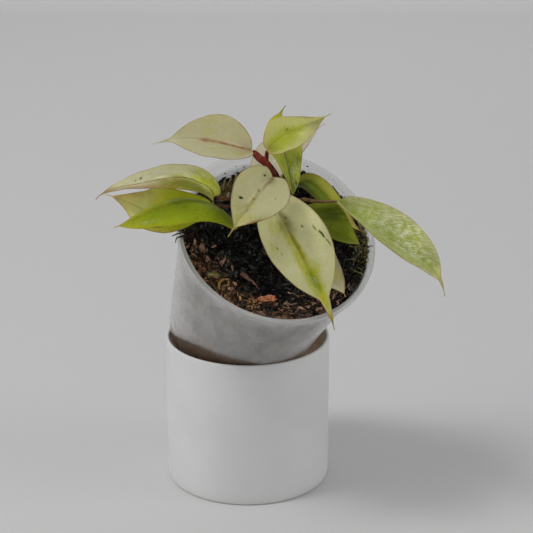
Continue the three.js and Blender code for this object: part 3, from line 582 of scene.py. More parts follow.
# %% Leaves of the left side
LEAVES |= {
    "leaf_left_pale": {
        # Painted light and shade: the run, the halves and the listed ovals lighten the base, which the
        # blade's own curl keeps in shade, and lighten and darken the two sides of the fold. The dark olive
        # of the near half (v > 0) is partly its green and partly painted shade of that steeply folded half.
        "painted_shades": [(0.08, -0.2, 0.07, 0.4, 0.28), (0.16, 0.1, 0.06, 0.4, 0.35),
                   (0.25, -0.1, 0.06, 0.2, 0.25), (0.45, -0.1, 0.04, 0.12, 0.45),
                   (0.6, 0.15, 0.1, 0.3, 0.32)],
        "midrib": [(-18, -58.5, 200), (-22.5, -63.5, 220.5), (-80.5, -82.5, 214), (-83, -75.5, 203.5)],
        "turn": (8, 45), "half": (14.5, 14), "fold": (15, 8), "curl": -4, "halves": (0.92, 1.08), "lobe": 4,
        "ior": 1.3,
        "wander": [(0.31, 0.09, -2.0), (0.42, 0.07, -0.8), (0.6, 0.1, 1.4)],
        "run": [(0, 1.55), (0.1, 1.5), (0.18, 1.32), (0.27, 1.1), (0.36, 1), (0.46, 0.88), (0.66, 0.9),
                (0.8, 1)],
        "outline": (0.55, 1.11, 0.89, 0.11),
        "tones": [(171, 168, 128), (144, 150, 18), (108, 112, 4), (134, 110, 66), (104, 72, 46)],
        "green": [(0.05, 0, 0.13, 1.4, 0.95), (0.16, -0.3, 0.12, 0.6, 0.6), (0.33, 0.6, 0.21, 0.75, 1)],
        "deep": [(0.3, 0.62, 0.2, 0.5, 1)],
        "stain": [(0.62, 0.9, 0.2, 0.4, 0.6), (0.45, 0.2, 0.12, 0.15, 0.4)],
        "speck": [(0.5, -0.4, 0.4, 0.6, 0.5), (0.1, 0, 0.15, 1, 0.3)],
        "spots": [(0.565, -0.42, 2.4, 0.8, 75, 0.9), (0.605, -0.27, 2, 0.6, 70, 0.7),
                  (0.33, 0.42, 1.6, 1.2, 0, 0.7), (0.27, 0.7, 1.2, 0.9, 0, 0.5),
                  (0.3, -0.55, 1, 0.6, 60, 0.4)],
        "tip_from": (0.7, 0.86), "rib": (0, 1, 0.55, 0.95), "margin": 0.9, "slot": "leaf_pale",
    },
    "leaf_left_tan": {
        # Painted light and shade: the very bright tones, the run and the listed ovals lift a blade that
        # lies in the shade of the leaves above it, and a few ovals darken the tip. The light mark is a
        # painted glint.
        "painted_shades": [(0.5, -0.95, 0.1, 0.25, 0.45), (0.32, -0.7, 0.1, 0.4, 0.33),
                   (0.7, -0.2, 0.08, 0.25, -0.14), (0.93, 0, 0.05, 1, -0.3)],
        "midrib": [(-19.5, -55.5, 194), (-64, -77, 192.5), (-48, -73, 197), (-78.5, -71.5, 205.5)],
        "turn": (-4, -6), "half": (14.5, 15), "fold": (11, 13), "curl": -3, "lobe": 2.5,
        "run": [(0, 0.85), (0.25, 0.9), (0.45, 1.12), (0.7, 1.14), (1, 1.05)],
        "outline": (0.67, 1.07, 0.96, 0.11),
        "tones": [(232, 223, 137), (208, 220, 46), (134, 152, 35), (212, 196, 138), (130, 112, 56)],
        "green": [(0.1, 0, 0.28, 1.4, 1), (0.4, 0.5, 0.22, 0.5, 0.9), (0.42, -0.3, 0.14, 0.4, 0.35)],
        "stain": [(0.6, -0.85, 0.3, 0.3, 0.5), (0.5, 0.9, 0.25, 0.16, 0.5)],
        "speck": [(0.6, 0, 0.4, 1, 0.35)], "lights": [(0.308, -0.8, 3.6, 0.7, 90, 0.9)],
        "tip_from": (0.55, 0.9), "rib": (0.1, 0.95, 0.45, 0.3), "margin": 0.95, "slot": "leaf_tan",
    },
    "leaf_left_green": {
        # Painted light and shade: the halves and the listed ovals lighten and darken sides and zones of the
        # blade, and the first deep patch, a dark band beside the midrib, is partly painted shade of the
        # fold.
        "painted_shades": [(0.45, 0.15, 0.08, 0.3, -0.25), (0.6, 0.1, 0.08, 0.2, -0.18),
                   (0.6, 0.85, 0.15, 0.25, 0.25), (0.85, 0.85, 0.06, 0.3, 0.2)],
        "midrib": [(-4.5, -78, 189), (-24, -83, 219), (-52.5, -98.5, 201), (-72, -93, 193.5)],
        "turn": (36, 12), "half": (15.5, 14.5), "fold": (7, -3), "curl": -20, "halves": (1.06, 0.88),
        "lobe": 3,
        "outline": (0.65, 1.02, 0.96, 0.13),
        "tones": [(146, 144, 29), (114, 128, 11), (86, 98, 7), (135, 136, 37), (104, 116, 24)],
        "green": [(0.3, 0.2, 0.45, 1.2, 1), (0.7, 0.3, 0.2, 0.7, 0.6)],
        "deep": [(0.42, -0.15, 0.22, 0.26, 0.85), (0.12, 0, 0.16, 1.2, 0.8)],
        "stain": [(0.39, 0.85, 0.02, 0.03, 0.9), (0.69, 1, 0.045, 0.07, 0.9)], "stain_tone": (92, 76, 24),
        "spots": [(0.29, 0.65, 1.9, 0.9, 30, 0.7), (0.38, 0.5, 1.3, 1, 0, 0.7),
                  (0.45, 0.3, 1.5, 1.2, 40, 0.7), (0.14, 0.3, 1, 1, 0, 0.4), (0.57, 0.2, 1, 0.8, 0, 0.4),
                  (0.22, 0.85, 1, 0.8, 0, 0.5)],
        "tip_from": (0.8, 1), "rib": (0.05, 0.95, 0.45, 0.2), "margin": 0.25, "slot": "leaf_green",
    },
}
print("leaves:", len(LEAVES))

# %% [markdown]
# ## Leaf tissue as a shader group
# All leaves share one recipe: pale tissue, green tissue whose edge is torn along the veins, small
# pale flecks, brownish stains, painted light and shade, a tinted midrib and margin, dark spots,
# painted glints, and a duller underside. A group holds the recipe once, and each leaf's material
# feeds it its own colours.
# Flecks and streaks read the leaf's vein coordinates, so they run from the midrib out to the margin
# as real veins do.

# %% Leaf tissue: inputs and noises
def about_half(tree, value, gain):
    return times(tree, maths(tree, "SUBTRACT", value, 0.5), gain)


PAINTS = ("Pale", "Green", "Deep", "Tip", "Rib", "Margin", "Stain")
tissue, given, result = new_group(
    "Leaf tissue",
    [(label, "Color", (0.5, 0.5, 0.5, 1)) for label in PAINTS]
    + [("Marbling", "Float", 0.4), ("Tearing", "Float", 1.0)],
    [("Color", "Color"), ("Roughness", "Float"), ("Height", "Float"), ("Gloss", "Float")],
)
vein_uv = node(tissue, "ShaderNodeUVMap", uv_map="veins").outputs[0]
place = object_place(tissue)


def vein_noise(along, across, *settings):
    inputs = {"Vector": vein_uv, "Scale": (along, across, 1.0)}
    return noise(tissue, node(tissue, "ShaderNodeMapping", inputs).outputs[0], 1.0, *settings)


def painted(colour, mask, paint):
    return blend_colour(tissue, mask, colour, paint)


streaks = vein_noise(9, 2.6, 3, 0.6, 0.5)
fine_streaks = vein_noise(30, 7, 2, 0.6, 0.6)
mottle = noise(tissue, place, 150, 3, 0.6)
ragged = noise(tissue, place, 1300, 2, 0.6)

# %% Leaf tissue: green, marbling, flecks, tip and painted light and shade
torn = plus(tissue, about_half(tissue, streaks, 1.1), about_half(tissue, mottle, 0.45))
torn = times(tissue, torn, given["Tearing"])
green_mask = span(tissue, plus(tissue, attribute(tissue, "green"), torn), 0.15, 0.85)
colour = blend_colour(tissue, green_mask, given["Pale"], given["Green"])
deep_mask = span(tissue, plus(tissue, attribute(tissue, "deep"), torn), 0.2, 0.9)
colour = painted(colour, deep_mask, given["Deep"])
marble = span(tissue, vein_noise(13, 4.5, 3, 0.65, 0.8), 0.52, 0.68)
marble = times(tissue, times(tissue, marble, green_mask), given["Marbling"])
colour = painted(colour, marble, given["Deep"])
flecks = vein_noise(18, 8, 4, 0.75, 0.9)
clumps = plus(tissue, flecks, about_half(tissue, noise(tissue, place, 230, 2, 0.5), 0.35))
fleck_mask = times(tissue, span(tissue, clumps, 0.45, 0.6), attribute(tissue, "speck"))
pale_fleck = blend_colour(tissue, 0.7, given["Pale"], (0.86, 0.88, 0.76, 1))
colour = painted(colour, times(tissue, fleck_mask, 0.9), pale_fleck)
colour = painted(colour, attribute(tissue, "tip"), given["Tip"])
# Painted light and shade: the blade's stored gains lighten or darken its colour.
colour = dimmed(tissue, colour, attribute(tissue, "half"))

# %% Leaf tissue: stains, midrib and margin
mottled = span(tissue, mottle, 0.3, 0.6, 0.55, 1.0)
colour = painted(colour, times(tissue, attribute(tissue, "stain"), mottled), given["Stain"])
colour = dimmed(tissue, colour, span(tissue, fine_streaks, 0.3, 0.7, 0.9, 1.07))
beads = span(tissue, noise(tissue, place, 420, 2, 0.6), 0.35, 0.6, 0.55, 1.0)
colour = painted(colour, times(tissue, attribute(tissue, "rib"), beads), given["Rib"])
broken = span(tissue, noise(tissue, place, 90, 2), 0.3, 0.65, 0.45, 1.0)
colour = painted(colour, times(tissue, attribute(tissue, "margin"), broken), given["Margin"])


# %% Leaf tissue: spots, painted glints and underside
def ragged_edge(key, gain):
    near = span(tissue, attribute(tissue, key), 0.0, 0.15)
    near = times(tissue, about_half(tissue, ragged, gain), near)
    return plus(tissue, attribute(tissue, key), near)


spot_edge = ragged_edge("spot", 0.8)
colour = painted(colour, span(tissue, spot_edge, 0.1, 0.5, 0.0, 0.6), given["Deep"])
colour = painted(colour, times(tissue, span(tissue, spot_edge, 0.45, 0.85), 0.95), tone(40, 56, 4))
specks = span(tissue, noise(tissue, place, 560, 1, 0.5), 0.73, 0.79, 0.0, 0.7)
specks = maths(tissue, "MULTIPLY", specks, attribute(tissue, "speck"), clamp=True)
colour = painted(colour, specks, given["Deep"])
# Painted glints: near-white marks where a leaf lists them.
painted_glint_mask = times(tissue, span(tissue, ragged_edge("light", 1.0), 0.35, 0.9), 0.85)
colour = painted(colour, painted_glint_mask, (0.80, 0.83, 0.62, 1))
dull = painted(colour, 0.5, tone(124, 126, 10))
colour = blend_colour(tissue, attribute(tissue, "upper"), dull, colour)
matt = span(tissue, attribute(tissue, "upper"), 0, 1, 0.35, 0.0)
feed(tissue, result, {
    "Color": colour,
    "Roughness": plus(tissue, matt, span(tissue, mottle, 0.3, 0.7, 0.42, 0.56)),
    "Height": plus(tissue, times(tissue, fine_streaks, 0.7), times(tissue, mottle, 0.3)),
    "Gloss": span(tissue, streaks, 0.35, 0.65, 0.0, 0.14),
})
print("leaf tissue nodes:", len(tissue.nodes))

# %% Leaf materials and blades
LEAF_GAIN, LEAF_IOR, MARBLING, TEARING, LEAF_BUMP = 1.36, 1.45, 0.35, 1.0, 0.00012
MARGIN_TONE, STAIN_TONE = (140, 84, 58), (158, 88, 58)
LEAF_SURFACE = {
    "Specular IOR Level": 0.2, "Specular Tint": (1.0, 1.0, 0.4, 1.0), "Coat Roughness": 0.18,
    "Subsurface Weight": 0.7, "Subsurface Radius": (1.0, 1.0, 0.35), "Subsurface Scale": 0.0006,
}


def leaf_material(name, leaf):
    material, tree, shader = new_material(name, LEAF_SURFACE | {"IOR": leaf.get("ior", LEAF_IOR)})
    values = {label: tone(*colour, LEAF_GAIN) for label, colour in zip(PAINTS, leaf["tones"])}
    values |= {"Margin": tone(*MARGIN_TONE), "Stain": tone(*leaf.get("stain_tone", STAIN_TONE))}
    values |= {"Marbling": leaf.get("marbling", MARBLING), "Tearing": leaf.get("tearing", TEARING)}
    made = node(tree, "ShaderNodeGroup", values, node_tree=tissue).outputs
    feed(tree, shader, {
        "Base Color": made["Color"], "Roughness": made["Roughness"], "Coat Weight": made["Gloss"],
        "Normal": bump(tree, made["Height"], LEAF_BUMP),
    })
    return material


for name, leaf in LEAVES.items():
    blade = make_blade("fine_" + name, leaf)
    finish_piece(blade, leaf_material(name + "_tissue", leaf), leaf["slot"], name)

# %% [markdown]
# ## Stems and leaf stalks
# Three shoots stand in the mix. Each is a set of round tubes along smooth curves whose thickness
# changes from point to point. A voxel remesh melts the tubes of one shoot together, as a living
# joint is, and a light smoothing takes the voxel steps away.

# %% Stem routes
STEMS = {
    "stem_centre": [
        [(14, -17.5, 181.5, 1.9), (15, -38, 192.5, 1.9), (17.5, -47, 203, 1.7), (17.5, -52.5, 209.5, 1.55),
         (13.5, -53.5, 215.5, 1.9), (10, -52, 218.5, 2.2), (7.3, -49.3, 219.8, 2.2),
         (5.2, -47.7, 221.6, 1.9), (3.6, -47.9, 223.1, 1.3)],
        [(11, -52.5, 218.5, 1.5), (11.5, -52.5, 221, 1.3), (11.8, -53.3, 224.8, 1.0)],
        [(17.5, -51, 208, 1), (17, -55.5, 210, 0.9), (15.3, -60.3, 211.9, 0.65)],
        [(15.5, -39, 193.5, 1), (21.5, -38, 190, 0.9), (25.5, -40, 191.5, 0.8), (26.4, -42.3, 194.8, 0.65)],
        [(15, -37, 192.5, 1), (15, -27.5, 196, 0.9), (13.5, -21, 199.5, 0.8), (12.8, -19.2, 202, 0.65)],
    ],
    "stem_left": [
        [(4, -22.5, 180, 1.8), (3, -40, 187.5, 1.7), (0.5, -44, 191, 1.4), (-7.5, -49, 195, 1.15),
         (-13, -54, 197, 1.05), (-17.4, -57.9, 199.2, 0.65)],
        [(2, -41.5, 188.5, 1.2), (-5, -45.5, 189.5, 1), (-12.5, -51, 191.5, 0.9),
         (-19.1, -55.3, 193.9, 0.65)],
        [(3, -42, 187.5, 1.3), (1.5, -54.5, 188.5, 1), (-0.5, -67, 189, 0.9), (-3.9, -77, 188.5, 0.65)],
    ],
    "stem_right": [
        [(23, -20, 177, 1.8), (23.5, -37, 184.5, 1.7), (26, -39.5, 188.5, 1.4), (32, -42.5, 192.5, 1.2),
         (37.5, -46, 193, 1.05), (45, -49, 193.5, 0.95), (51.8, -50.2, 194.1, 0.65)],
        [(23, -35, 183, 1.3), (20, -42, 187.5, 1.1), (17, -49, 193, 0.85), (14.7, -51.6, 196.2, 0.65)],
        [(23.5, -35.5, 182.5, 1.2), (28.5, -39, 179, 1), (33, -45, 177, 0.85), (36.3, -49.7, 176.3, 0.65)],
        [(24, -37, 184.5, 1.2), (27, -38, 184, 1), (30.1, -42, 184, 0.65)],
        [(23.5, -33, 183.5, 1.1), (25, -24, 187.5, 0.95), (27.5, -19.5, 191.5, 0.8),
         (29.3, -18.9, 193.8, 0.65)],
    ],
}


# %% Tubes along smooth curves
def smooth_run(run, steps):
    p = np.array(run, float)
    q = np.vstack([2 * p[0] - p[1], p, 2 * p[-1] - p[-2]])
    rows = []
    for i in range(len(p) - 1):
        t = np.linspace(0, 1, steps, endpoint=False)[:, None]
        a, b, c, d = q[i : i + 4]
        rise, turn = 2 * a - 5 * b + 4 * c - d, 3 * b - a - 3 * c + d
        way = 0.5 * (2 * b + (c - a) * t + rise * t * t + turn * t**3)
        way[:, 3] = (b[3] + (c[3] - b[3]) * t[:, 0])
        rows.append(way)
    return np.vstack(rows + [p[-1:]])


def circle(sides):
    angle = np.linspace(0, 2 * np.pi, sides, endpoint=False)
    return np.column_stack([np.cos(angle), np.sin(angle)])


def capped_faces(rings, sides, flip=True):
    faces = grid_faces(rings, sides, closed=True, flip=flip)
    centre, last = rings * sides, (rings - 1) * sides
    for k in range(sides):
        n = (k + 1) % sides
        a, b = (n, k) if flip else (k, n)
        faces += [(centre, a, b), (centre + 1, last + b, last + a)]
    return faces


def tube(run, steps=9, sides=14):
    path = smooth_run(run, steps)
    centre, radius = path[:, :3], path[:, 3]
    way = unit(np.gradient(centre, axis=0))
    normal = unit(np.cross(way[0], [0.3, 1, 0.2]))
    ring = circle(sides)
    rings = []
    for i in range(len(path)):
        normal = unit(normal - (normal @ way[i]) * way[i])
        other = np.cross(way[i], normal)
        rings.append(centre[i] + radius[i] * (ring[:, :1] * normal + ring[:, 1:] * other))
    points = np.vstack(rings + [centre[:1] - way[:1] * 0.3 * radius[0], centre[-1:]])
    return points, capped_faces(len(path), sides)


def joined(parts):
    points, faces = np.zeros((0, 3)), []
    for part_points, part_faces in parts:
        faces += [[k + len(points) for k in f] for f in part_faces]
        points = np.vstack([points, part_points])
    return points, faces


# %% [markdown]
# ## Stem skin
# The young shoot at the top is dark red, the others fade from brown-green at the foot to a dull
# red. A fine noise makes the skin lighter and darker from place to place, and a broader one mixes
# two tones of brown and two of red.

# %% Stem material
stem_skin, tree, shader = new_material("Stem skin", {"Specular IOR Level": 0.15})
place = object_place(tree)
streak = noise(tree, place, 420, 4, 0.65, 0.5)
patchy = noise(tree, place, 150, 3, 0.6)
foot = blend_colour(tree, span(tree, patchy, 0.35, 0.65), tone(70, 48, 34), tone(98, 82, 42))
top = blend_colour(tree, span(tree, patchy, 0.35, 0.7), tone(98, 26, 20), tone(152, 64, 48))
skin = blend_colour(tree, attribute(tree, "red"), foot, top)
skin = blend_colour(tree, attribute(tree, "light"), skin, tone(152, 118, 84))
feed(tree, shader, {
    "Base Color": dimmed(tree, skin, span(tree, streak, 0.3, 0.7, 0.5, 1.2)),
    "Roughness": span(tree, streak, 0.3, 0.7, 0.38, 0.6),
    "Normal": bump(tree, streak, 0.0006),
})

# %% Build the shoots
VOXEL, SMOOTH_SHARE, SMOOTH_ROUNDS = 0.24, 0.5, 3
STEM_PAINT = {
    "red": {"stem_centre": (1.0, 1.0, 1.0, 1.0, 0.5), "stem_left": (0.3, 0.35, 0.2),
            "stem_right": (0.2, 0.3, 0.3, 0.3, 0.3)},
    "light": {"stem_centre": (0, 0, 0, 0, 0.4), "stem_left": (0.0, 0.2, 0.3),
              "stem_right": (1.0, 0.4, 0.4, 0.4, 0.3)},
}


def make_plain(piece):
    shown = piece.evaluated_get(bpy.context.evaluated_depsgraph_get())
    mesh = bpy.data.meshes.new_from_object(shown)
    piece.modifiers.clear()
    piece.data = mesh
    return mesh


def fused(name, parts):
    piece = make_piece(name, *joined(parts))
    melt = piece.modifiers.new("melt", "REMESH")
    melt.mode, melt.voxel_size, melt.use_smooth_shade = "VOXEL", VOXEL * MM, True
    even = piece.modifiers.new("even", "SMOOTH")
    even.factor, even.iterations = SMOOTH_SHARE, SMOOTH_ROUNDS
    set_smooth(make_plain(piece), True)
    return piece


def stem_values(name, at):
    nearest = np.full(len(at), 1e9)
    values = {key: np.zeros(len(at)) for key in STEM_PAINT}
    for k, run in enumerate(STEMS[name]):
        path = smooth_run(run, 6)
        share = np.linspace(0, 1, len(path))
        away = np.linalg.norm(at[:, None] - path[None, :, :3], axis=2) - path[None, :, 3]
        best, place_on = away.min(1), share[away.argmin(1)]
        closer = best < nearest
        grown = smooth(place_on, 0.25, 0.6) if k == 0 else 1.0
        for key, amounts in STEM_PAINT.items():
            values[key] = np.where(closer, amounts[name][k] * grown, values[key])
        nearest = np.where(closer, best, nearest)
    return values


for name, runs in STEMS.items():
    shoot = fused("fine_" + name, [tube(run) for run in runs])
    at = np.array([v.co for v in shoot.data.vertices]) / MM
    store_values(shoot.data, stem_values(name, at))
    finish_piece(shoot, stem_skin, "stem", name)

# %% [markdown]
# ## Turned pots
# Both pots are bodies of revolution, so a profile of radius and height is turned about an axis. The
# corners of a profile are small arcs, and the wall has real thickness with a rounded rim, because a
# rim without thickness never catches the light as clay or plastic does.

# %% Turn a profile
def level_ring(sides, radius, height):
    return np.column_stack([radius * circle(sides), np.full(sides, height)])


def turned(profile, sides):
    inner = [p for p in profile if p[0] > 0]
    points = [level_ring(sides, r, z) for r, z in inner]
    points = np.vstack(points + [[[0, 0, profile[0][1]], [0, 0, profile[-1][1]]]])
    return points, capped_faces(len(inner), sides)


def bend(centre_r, centre_z, radius, start, end, steps=6):
    angles = np.radians(np.linspace(start, end, steps))
    return [(centre_r + radius * math.cos(a), centre_z + radius * math.sin(a)) for a in angles]


# %% [markdown]
# ## The white cover pot
# A straight matt pot with a rounded rim and a small foot edge. Matt glazed clay isn't quite even:
# it has a faint cloudy tone, a grain that only shows in the highlight, and grainy patches that are
# darker and greyer at the foot. Its inside is brown from near the foot to just under the rim, and a
# mask on the radius keeps that brown inside. A very faint glow on that brown wall is painted light:
# it lifts the wall, which would be too dark between the two pots.

# %% White clay material
INNER_WALL = (0.0481, 0.0485)
BROWN_FROM, BROWN_TO = (0.003, 0.0036), (0.090, 0.086)
# The emission is painted light on the brown inside wall.
CLAY_SURFACE = {"Specular IOR Level": 0.35, "Emission Strength": 1.0}
white_clay, tree, shader = new_material("Matt white clay", CLAY_SURFACE)
place = object_place(tree)
cloud = noise(tree, place, 26, 3, 0.5)
grain = noise(tree, place, 1500, 2, 0.5)
split = node(tree, "ShaderNodeSeparateXYZ", {0: place}).outputs
clay = blend_colour(tree, span(tree, cloud, 0.3, 0.7), (0.68, 0.68, 0.68, 1), (0.72, 0.72, 0.718, 1))
greyer_foot = times(tree, span(tree, split["Z"], 0.0, 0.006, 0.5, 0.0), span(tree, grain, 0.3, 0.7))
clay = blend_colour(tree, greyer_foot, clay, (0.5, 0.48, 0.45, 1))
reach = node(tree, "ShaderNodeCombineXYZ", {0: split["X"], 1: split["Y"], 2: 0.0}).outputs[0]
reach = vector_maths(tree, "LENGTH", {0: reach})["Value"]
# The mask below marks the brown inside wall, from near the foot to just under the rim.
inside = times(tree, span(tree, reach, *INNER_WALL, 1.0, 0.0), span(tree, split["Z"], *BROWN_FROM))
stain = times(tree, inside, span(tree, split["Z"], *BROWN_TO, 0.0, 1.0))
inner_brown = blend_colour(tree, span(tree, cloud, 0.35, 0.65), tone(178, 156, 132), tone(214, 196, 172))
feed(tree, shader, {
    "Base Color": blend_colour(tree, times(tree, stain, 0.85), clay, inner_brown),
    # Painted light: the brown inside wall glows faintly.
    "Emission Color": blend_colour(tree, stain, (0, 0, 0, 1), (0.038, 0.029, 0.021, 1)),
    "Roughness": span(tree, cloud, 0.3, 0.7, 0.42, 0.52),
    "Normal": bump(tree, grain, 0.00004),
})

# %% White pot
COVER_SIDES = 160
COVER_PROFILE = (
    [(0, 0.35), (44, 0.35), (46.2, 0), (47.6, 0)]
    + bend(48.2, 1.7, 1.7, -90, 0, 6)
    + [(50, 8), (50, 30), (50, 60), (50, 88)]
    + bend(48.95, 90.95, 1.05, 0, 180, 13)
    + [(47.9, 88), (47.9, 60), (47.9, 30)]
    + bend(44.9, 7, 3, 0, -90, 6)
    + [(30, 4), (0, 4)]
)
cover = make_piece("fine_outer_pot", *turned(COVER_PROFILE, COVER_SIDES))
finish_piece(cover, white_clay, "white_pot", "outer_pot")

# %% [markdown]
# ## The clear growing pot
# Thin plastic that is cloudy from use: the mix behind it shows only as a soft darkening. The
# plastic is a pale grey body whose alpha lets a part of that through. Noise makes the haze thicker
# in some places. Masks mark the rim, the clearer band above the mix and a brown band low on the
# front. Painted light thickens the haze on the left, where the key light falls, and lightens and
# thickens the wall just under the rim on the front, in the flange's shade; a painted dark edge runs
# along the rim's outer corner on the right. A coat gives the wet-looking gloss.

# %% Clear plastic material: the body's colour
clear_plastic, tree, shader = new_material("Clear plastic", {
    "Subsurface Weight": 0.7, "Subsurface Radius": (1.0, 1.0, 1.0), "Subsurface Scale": 0.0015,
    "Coat Weight": 0.4, "Coat Roughness": 0.1,
})
place = object_place(tree)
rise = vector_maths(tree, "DOT_PRODUCT", {0: place, 1: POT_AXIS.tolist()})["Value"]
along = vector_maths(tree, "SCALE", {0: POT_AXIS.tolist(), "Scale": times(tree, rise, 0.45)})[0]
wall_place = vector_maths(tree, "SUBTRACT", {0: place, 1: along})[0]
haze = noise(tree, wall_place, 120, 4, 0.6, 0.4)
body = blend_colour(tree, span(tree, haze, 0.35, 0.7), (0.478, 0.452, 0.426, 1), (0.52, 0.5, 0.478, 1))
cool = span(tree, noise(tree, place, 42, 2, 0.5), 0.42, 0.62, 0.0, 0.7)
body = blend_colour(tree, cool, body, (0.45, 0.45, 0.46, 1))
body = blend_colour(tree, attribute(tree, "lip"), body, (0.80, 0.80, 0.80, 1))
# A painted dark edge stands for the dark refraction at the rim's outer corner on the right.
body = blend_colour(tree, attribute(tree, "painted_dark_rim_edge"), body, (0.22, 0.22, 0.22, 1))
# A brown band low on the front, below the tide line, which also makes the wall less clear there.
edge_noise = plus(tree, attribute(tree, "brown_below_tide"), about_half(tree, haze, 0.7))
brown_low_front = times(tree, span(tree, edge_noise, 0.3, 0.75), 0.94)
body = blend_colour(tree, brown_low_front, body, tone(104, 86, 72))

# %% Clear plastic material: how much it lets through
CLEAREST, CLOUDIEST = 0.04, 0.92
broad = noise(tree, place, 48, 2, 0.5)
drops = noise(tree, place, 900, 3, 0.65)
see = plus(tree, span(tree, haze, 0.3, 0.7, 0.46, 0.61), about_half(tree, broad, 0.34))
see = times(tree, plus(tree, see, about_half(tree, drops, 0.14)), attribute(tree, "cloud"))
rim_light = node(tree, "ShaderNodeLayerWeight", {"Blend": 0.5}).outputs["Facing"]
see = plus(tree, see, span(tree, rim_light, 0.62, 1.0, 0.0, 0.5))
see = plus(tree, see, attribute(tree, "lip_haze"))
see = maths(tree, "MAXIMUM", plus(tree, see, times(tree, brown_low_front, 0.25)), CLEAREST)
feed(tree, shader, {
    "Base Color": body,
    "Alpha": maths(tree, "MINIMUM", see, CLOUDIEST),
    "Roughness": span(tree, haze, 0.3, 0.7, 0.2, 0.36),
    "Normal": bump(tree, haze, 0.0002),
})

# %% Profile of the clear pot
UNDER_RIM, FLOOR_HEIGHT = -6, -109.1
INNER_RADIUS, INNER_RUN, INNER_DEPTH = 54.4, 12.9, 103.1
WALL = ((FLOOR_HEIGHT, -78, -43, -19, -6.2), (42.4, 46.3, 50.6, 53.7, 55.3))


def pot_inner(h):
    return INNER_RADIUS + (h - UNDER_RIM) * INNER_RUN / INNER_DEPTH


GROWING_PROFILE = (
    [(0, -114.1), (25, -114.1)]
    + bend(39.3, -112.0, 2.1, -90, -40, 4)
    + [(float(np.interp(h, *WALL)), float(h)) for h in np.linspace(FLOOR_HEIGHT, -6.2, 48)]
    + [(55.6, -5)]
    + bend(57.9, -3.1, 0.4, -90, 0, 4)
    + bend(57.6, -0.7, 0.7, 0, 90, 5)
    + [(56.9, 0)]
    + bend(56.1, -0.9, 0.9, 90, 180, 5)
    + [(pot_inner(h), h) for h in (-3, UNDER_RIM, -40, -80, FLOOR_HEIGHT)]
    + [(40.2, -112.2), (38, -112.8), (0, -112.8)]
)


def in_pot(points):
    return np.asarray(points) @ POT_MATRIX.T + RIM_CENTRE


def turn_of(points, degrees, reach):
    angle = np.arctan2(points[:, 1], points[:, 0])
    away = np.arccos(np.clip(np.cos(angle - math.radians(degrees)), -1, 1))
    return bell(away, 0, math.radians(reach))


# %% Masks of the clear pot
GROWING_SIDES = 144
TIDE = ((185, 194, 205.5, 214.5, 224.5, 234, 244, 258), (-98, -89, -79, -71, -67.5, -64.5, -63, -64.5))
pot_points, pot_faces = turned(GROWING_PROFILE, GROWING_SIDES)
pot_h = pot_points[:, 2]
pot_turn = np.arctan2(pot_points[:, 1], pot_points[:, 0])
pot_degrees = np.degrees(pot_turn) % 360
soil_line = -7 - 5 * turn_of(pot_points, 112, 31)
filled = smooth(-pot_h, -soil_line - 2, -soil_line + 2)
front = smooth(np.cos(pot_turn - math.radians(240)), -0.1, 0.5)
right = turn_of(pot_points, 345, 50)
lip = smooth(pot_h, -4.6, -0.4) * (1 - 0.5 * right)
# Painted light on the front, just under the rim, in the shade of the flange.
painted_light_under_lip = front * smooth(pot_h, -22, -6) * (1 - smooth(pot_h, -3.6, -3.0))
outermost = smooth(np.hypot(pot_points[:, 0], pot_points[:, 1]), 58.1, 58.25)
below_tide = smooth(np.interp(pot_degrees, *TIDE) - pot_h, -1.5, 4)
# Painted light: the cloud is thicker on the left, where the key light falls, and the cloud and lip thicken
# and lighten the wall just under the rim on the front.
masks = {
    "cloud": (0.16 + 0.84 * filled) * (0.9 + 0.25 * turn_of(pot_points, 195, 45) + 0.28 * painted_light_under_lip),
    "lip": np.maximum(lip, 0.3 * painted_light_under_lip),
    "lip_haze": smooth(pot_h, -5.4, -4.2) * (0.02 + 0.4 * front + 0.22 * right),
    "painted_dark_rim_edge": outermost * smooth(np.cos(pot_turn - math.radians(20)), 0.2, 0.8),
    "brown_below_tide": below_tide * (1 - smooth(np.abs(pot_degrees - 216), 34, 52)),
}
growing_pot = make_piece("fine_nursery_pot", in_pot(pot_points), pot_faces, masks)
finish_piece(growing_pot, clear_plastic, "clear_pot", "nursery_pot")

# %% [markdown]
# ## The potting mix
# The mix fills the pot. Its top is the same heaped surface as the solid, with fine crumbs added:
# several layers of noise worked out on the grid itself, so the outline is rough too. It is nearly
# black in the middle, where it is moist and shaded, and browner toward the rim.

# %% Crumbly noise on points
def hash01(i, j, k, seed):
    n = (i * 374761393 + j * 668265263 + k * 2147483647 + seed * 974634777).astype(np.int64) & 0xFFFFFFFF
    n = ((n ^ (n >> 13)) * 1274126177) & 0xFFFFFFFF
    return ((n ^ (n >> 16)) & 0xFFFF) / 65535.0


def value_noise(points, size, seed):
    p = np.asarray(points, float) / size
    base = np.floor(p).astype(np.int64)
    f = p - base
    f = f * f * (3 - 2 * f)
    total = 0
    for a, b, c in np.ndindex(2, 2, 2):
        weight = np.abs(1 - a - f[:, 0]) * np.abs(1 - b - f[:, 1]) * np.abs(1 - c - f[:, 2])
        total = total + weight * hash01(base[:, 0] + a, base[:, 1] + b, base[:, 2] + c, seed)
    return total


# %% Height of the mix
MIX_LEVEL = -8


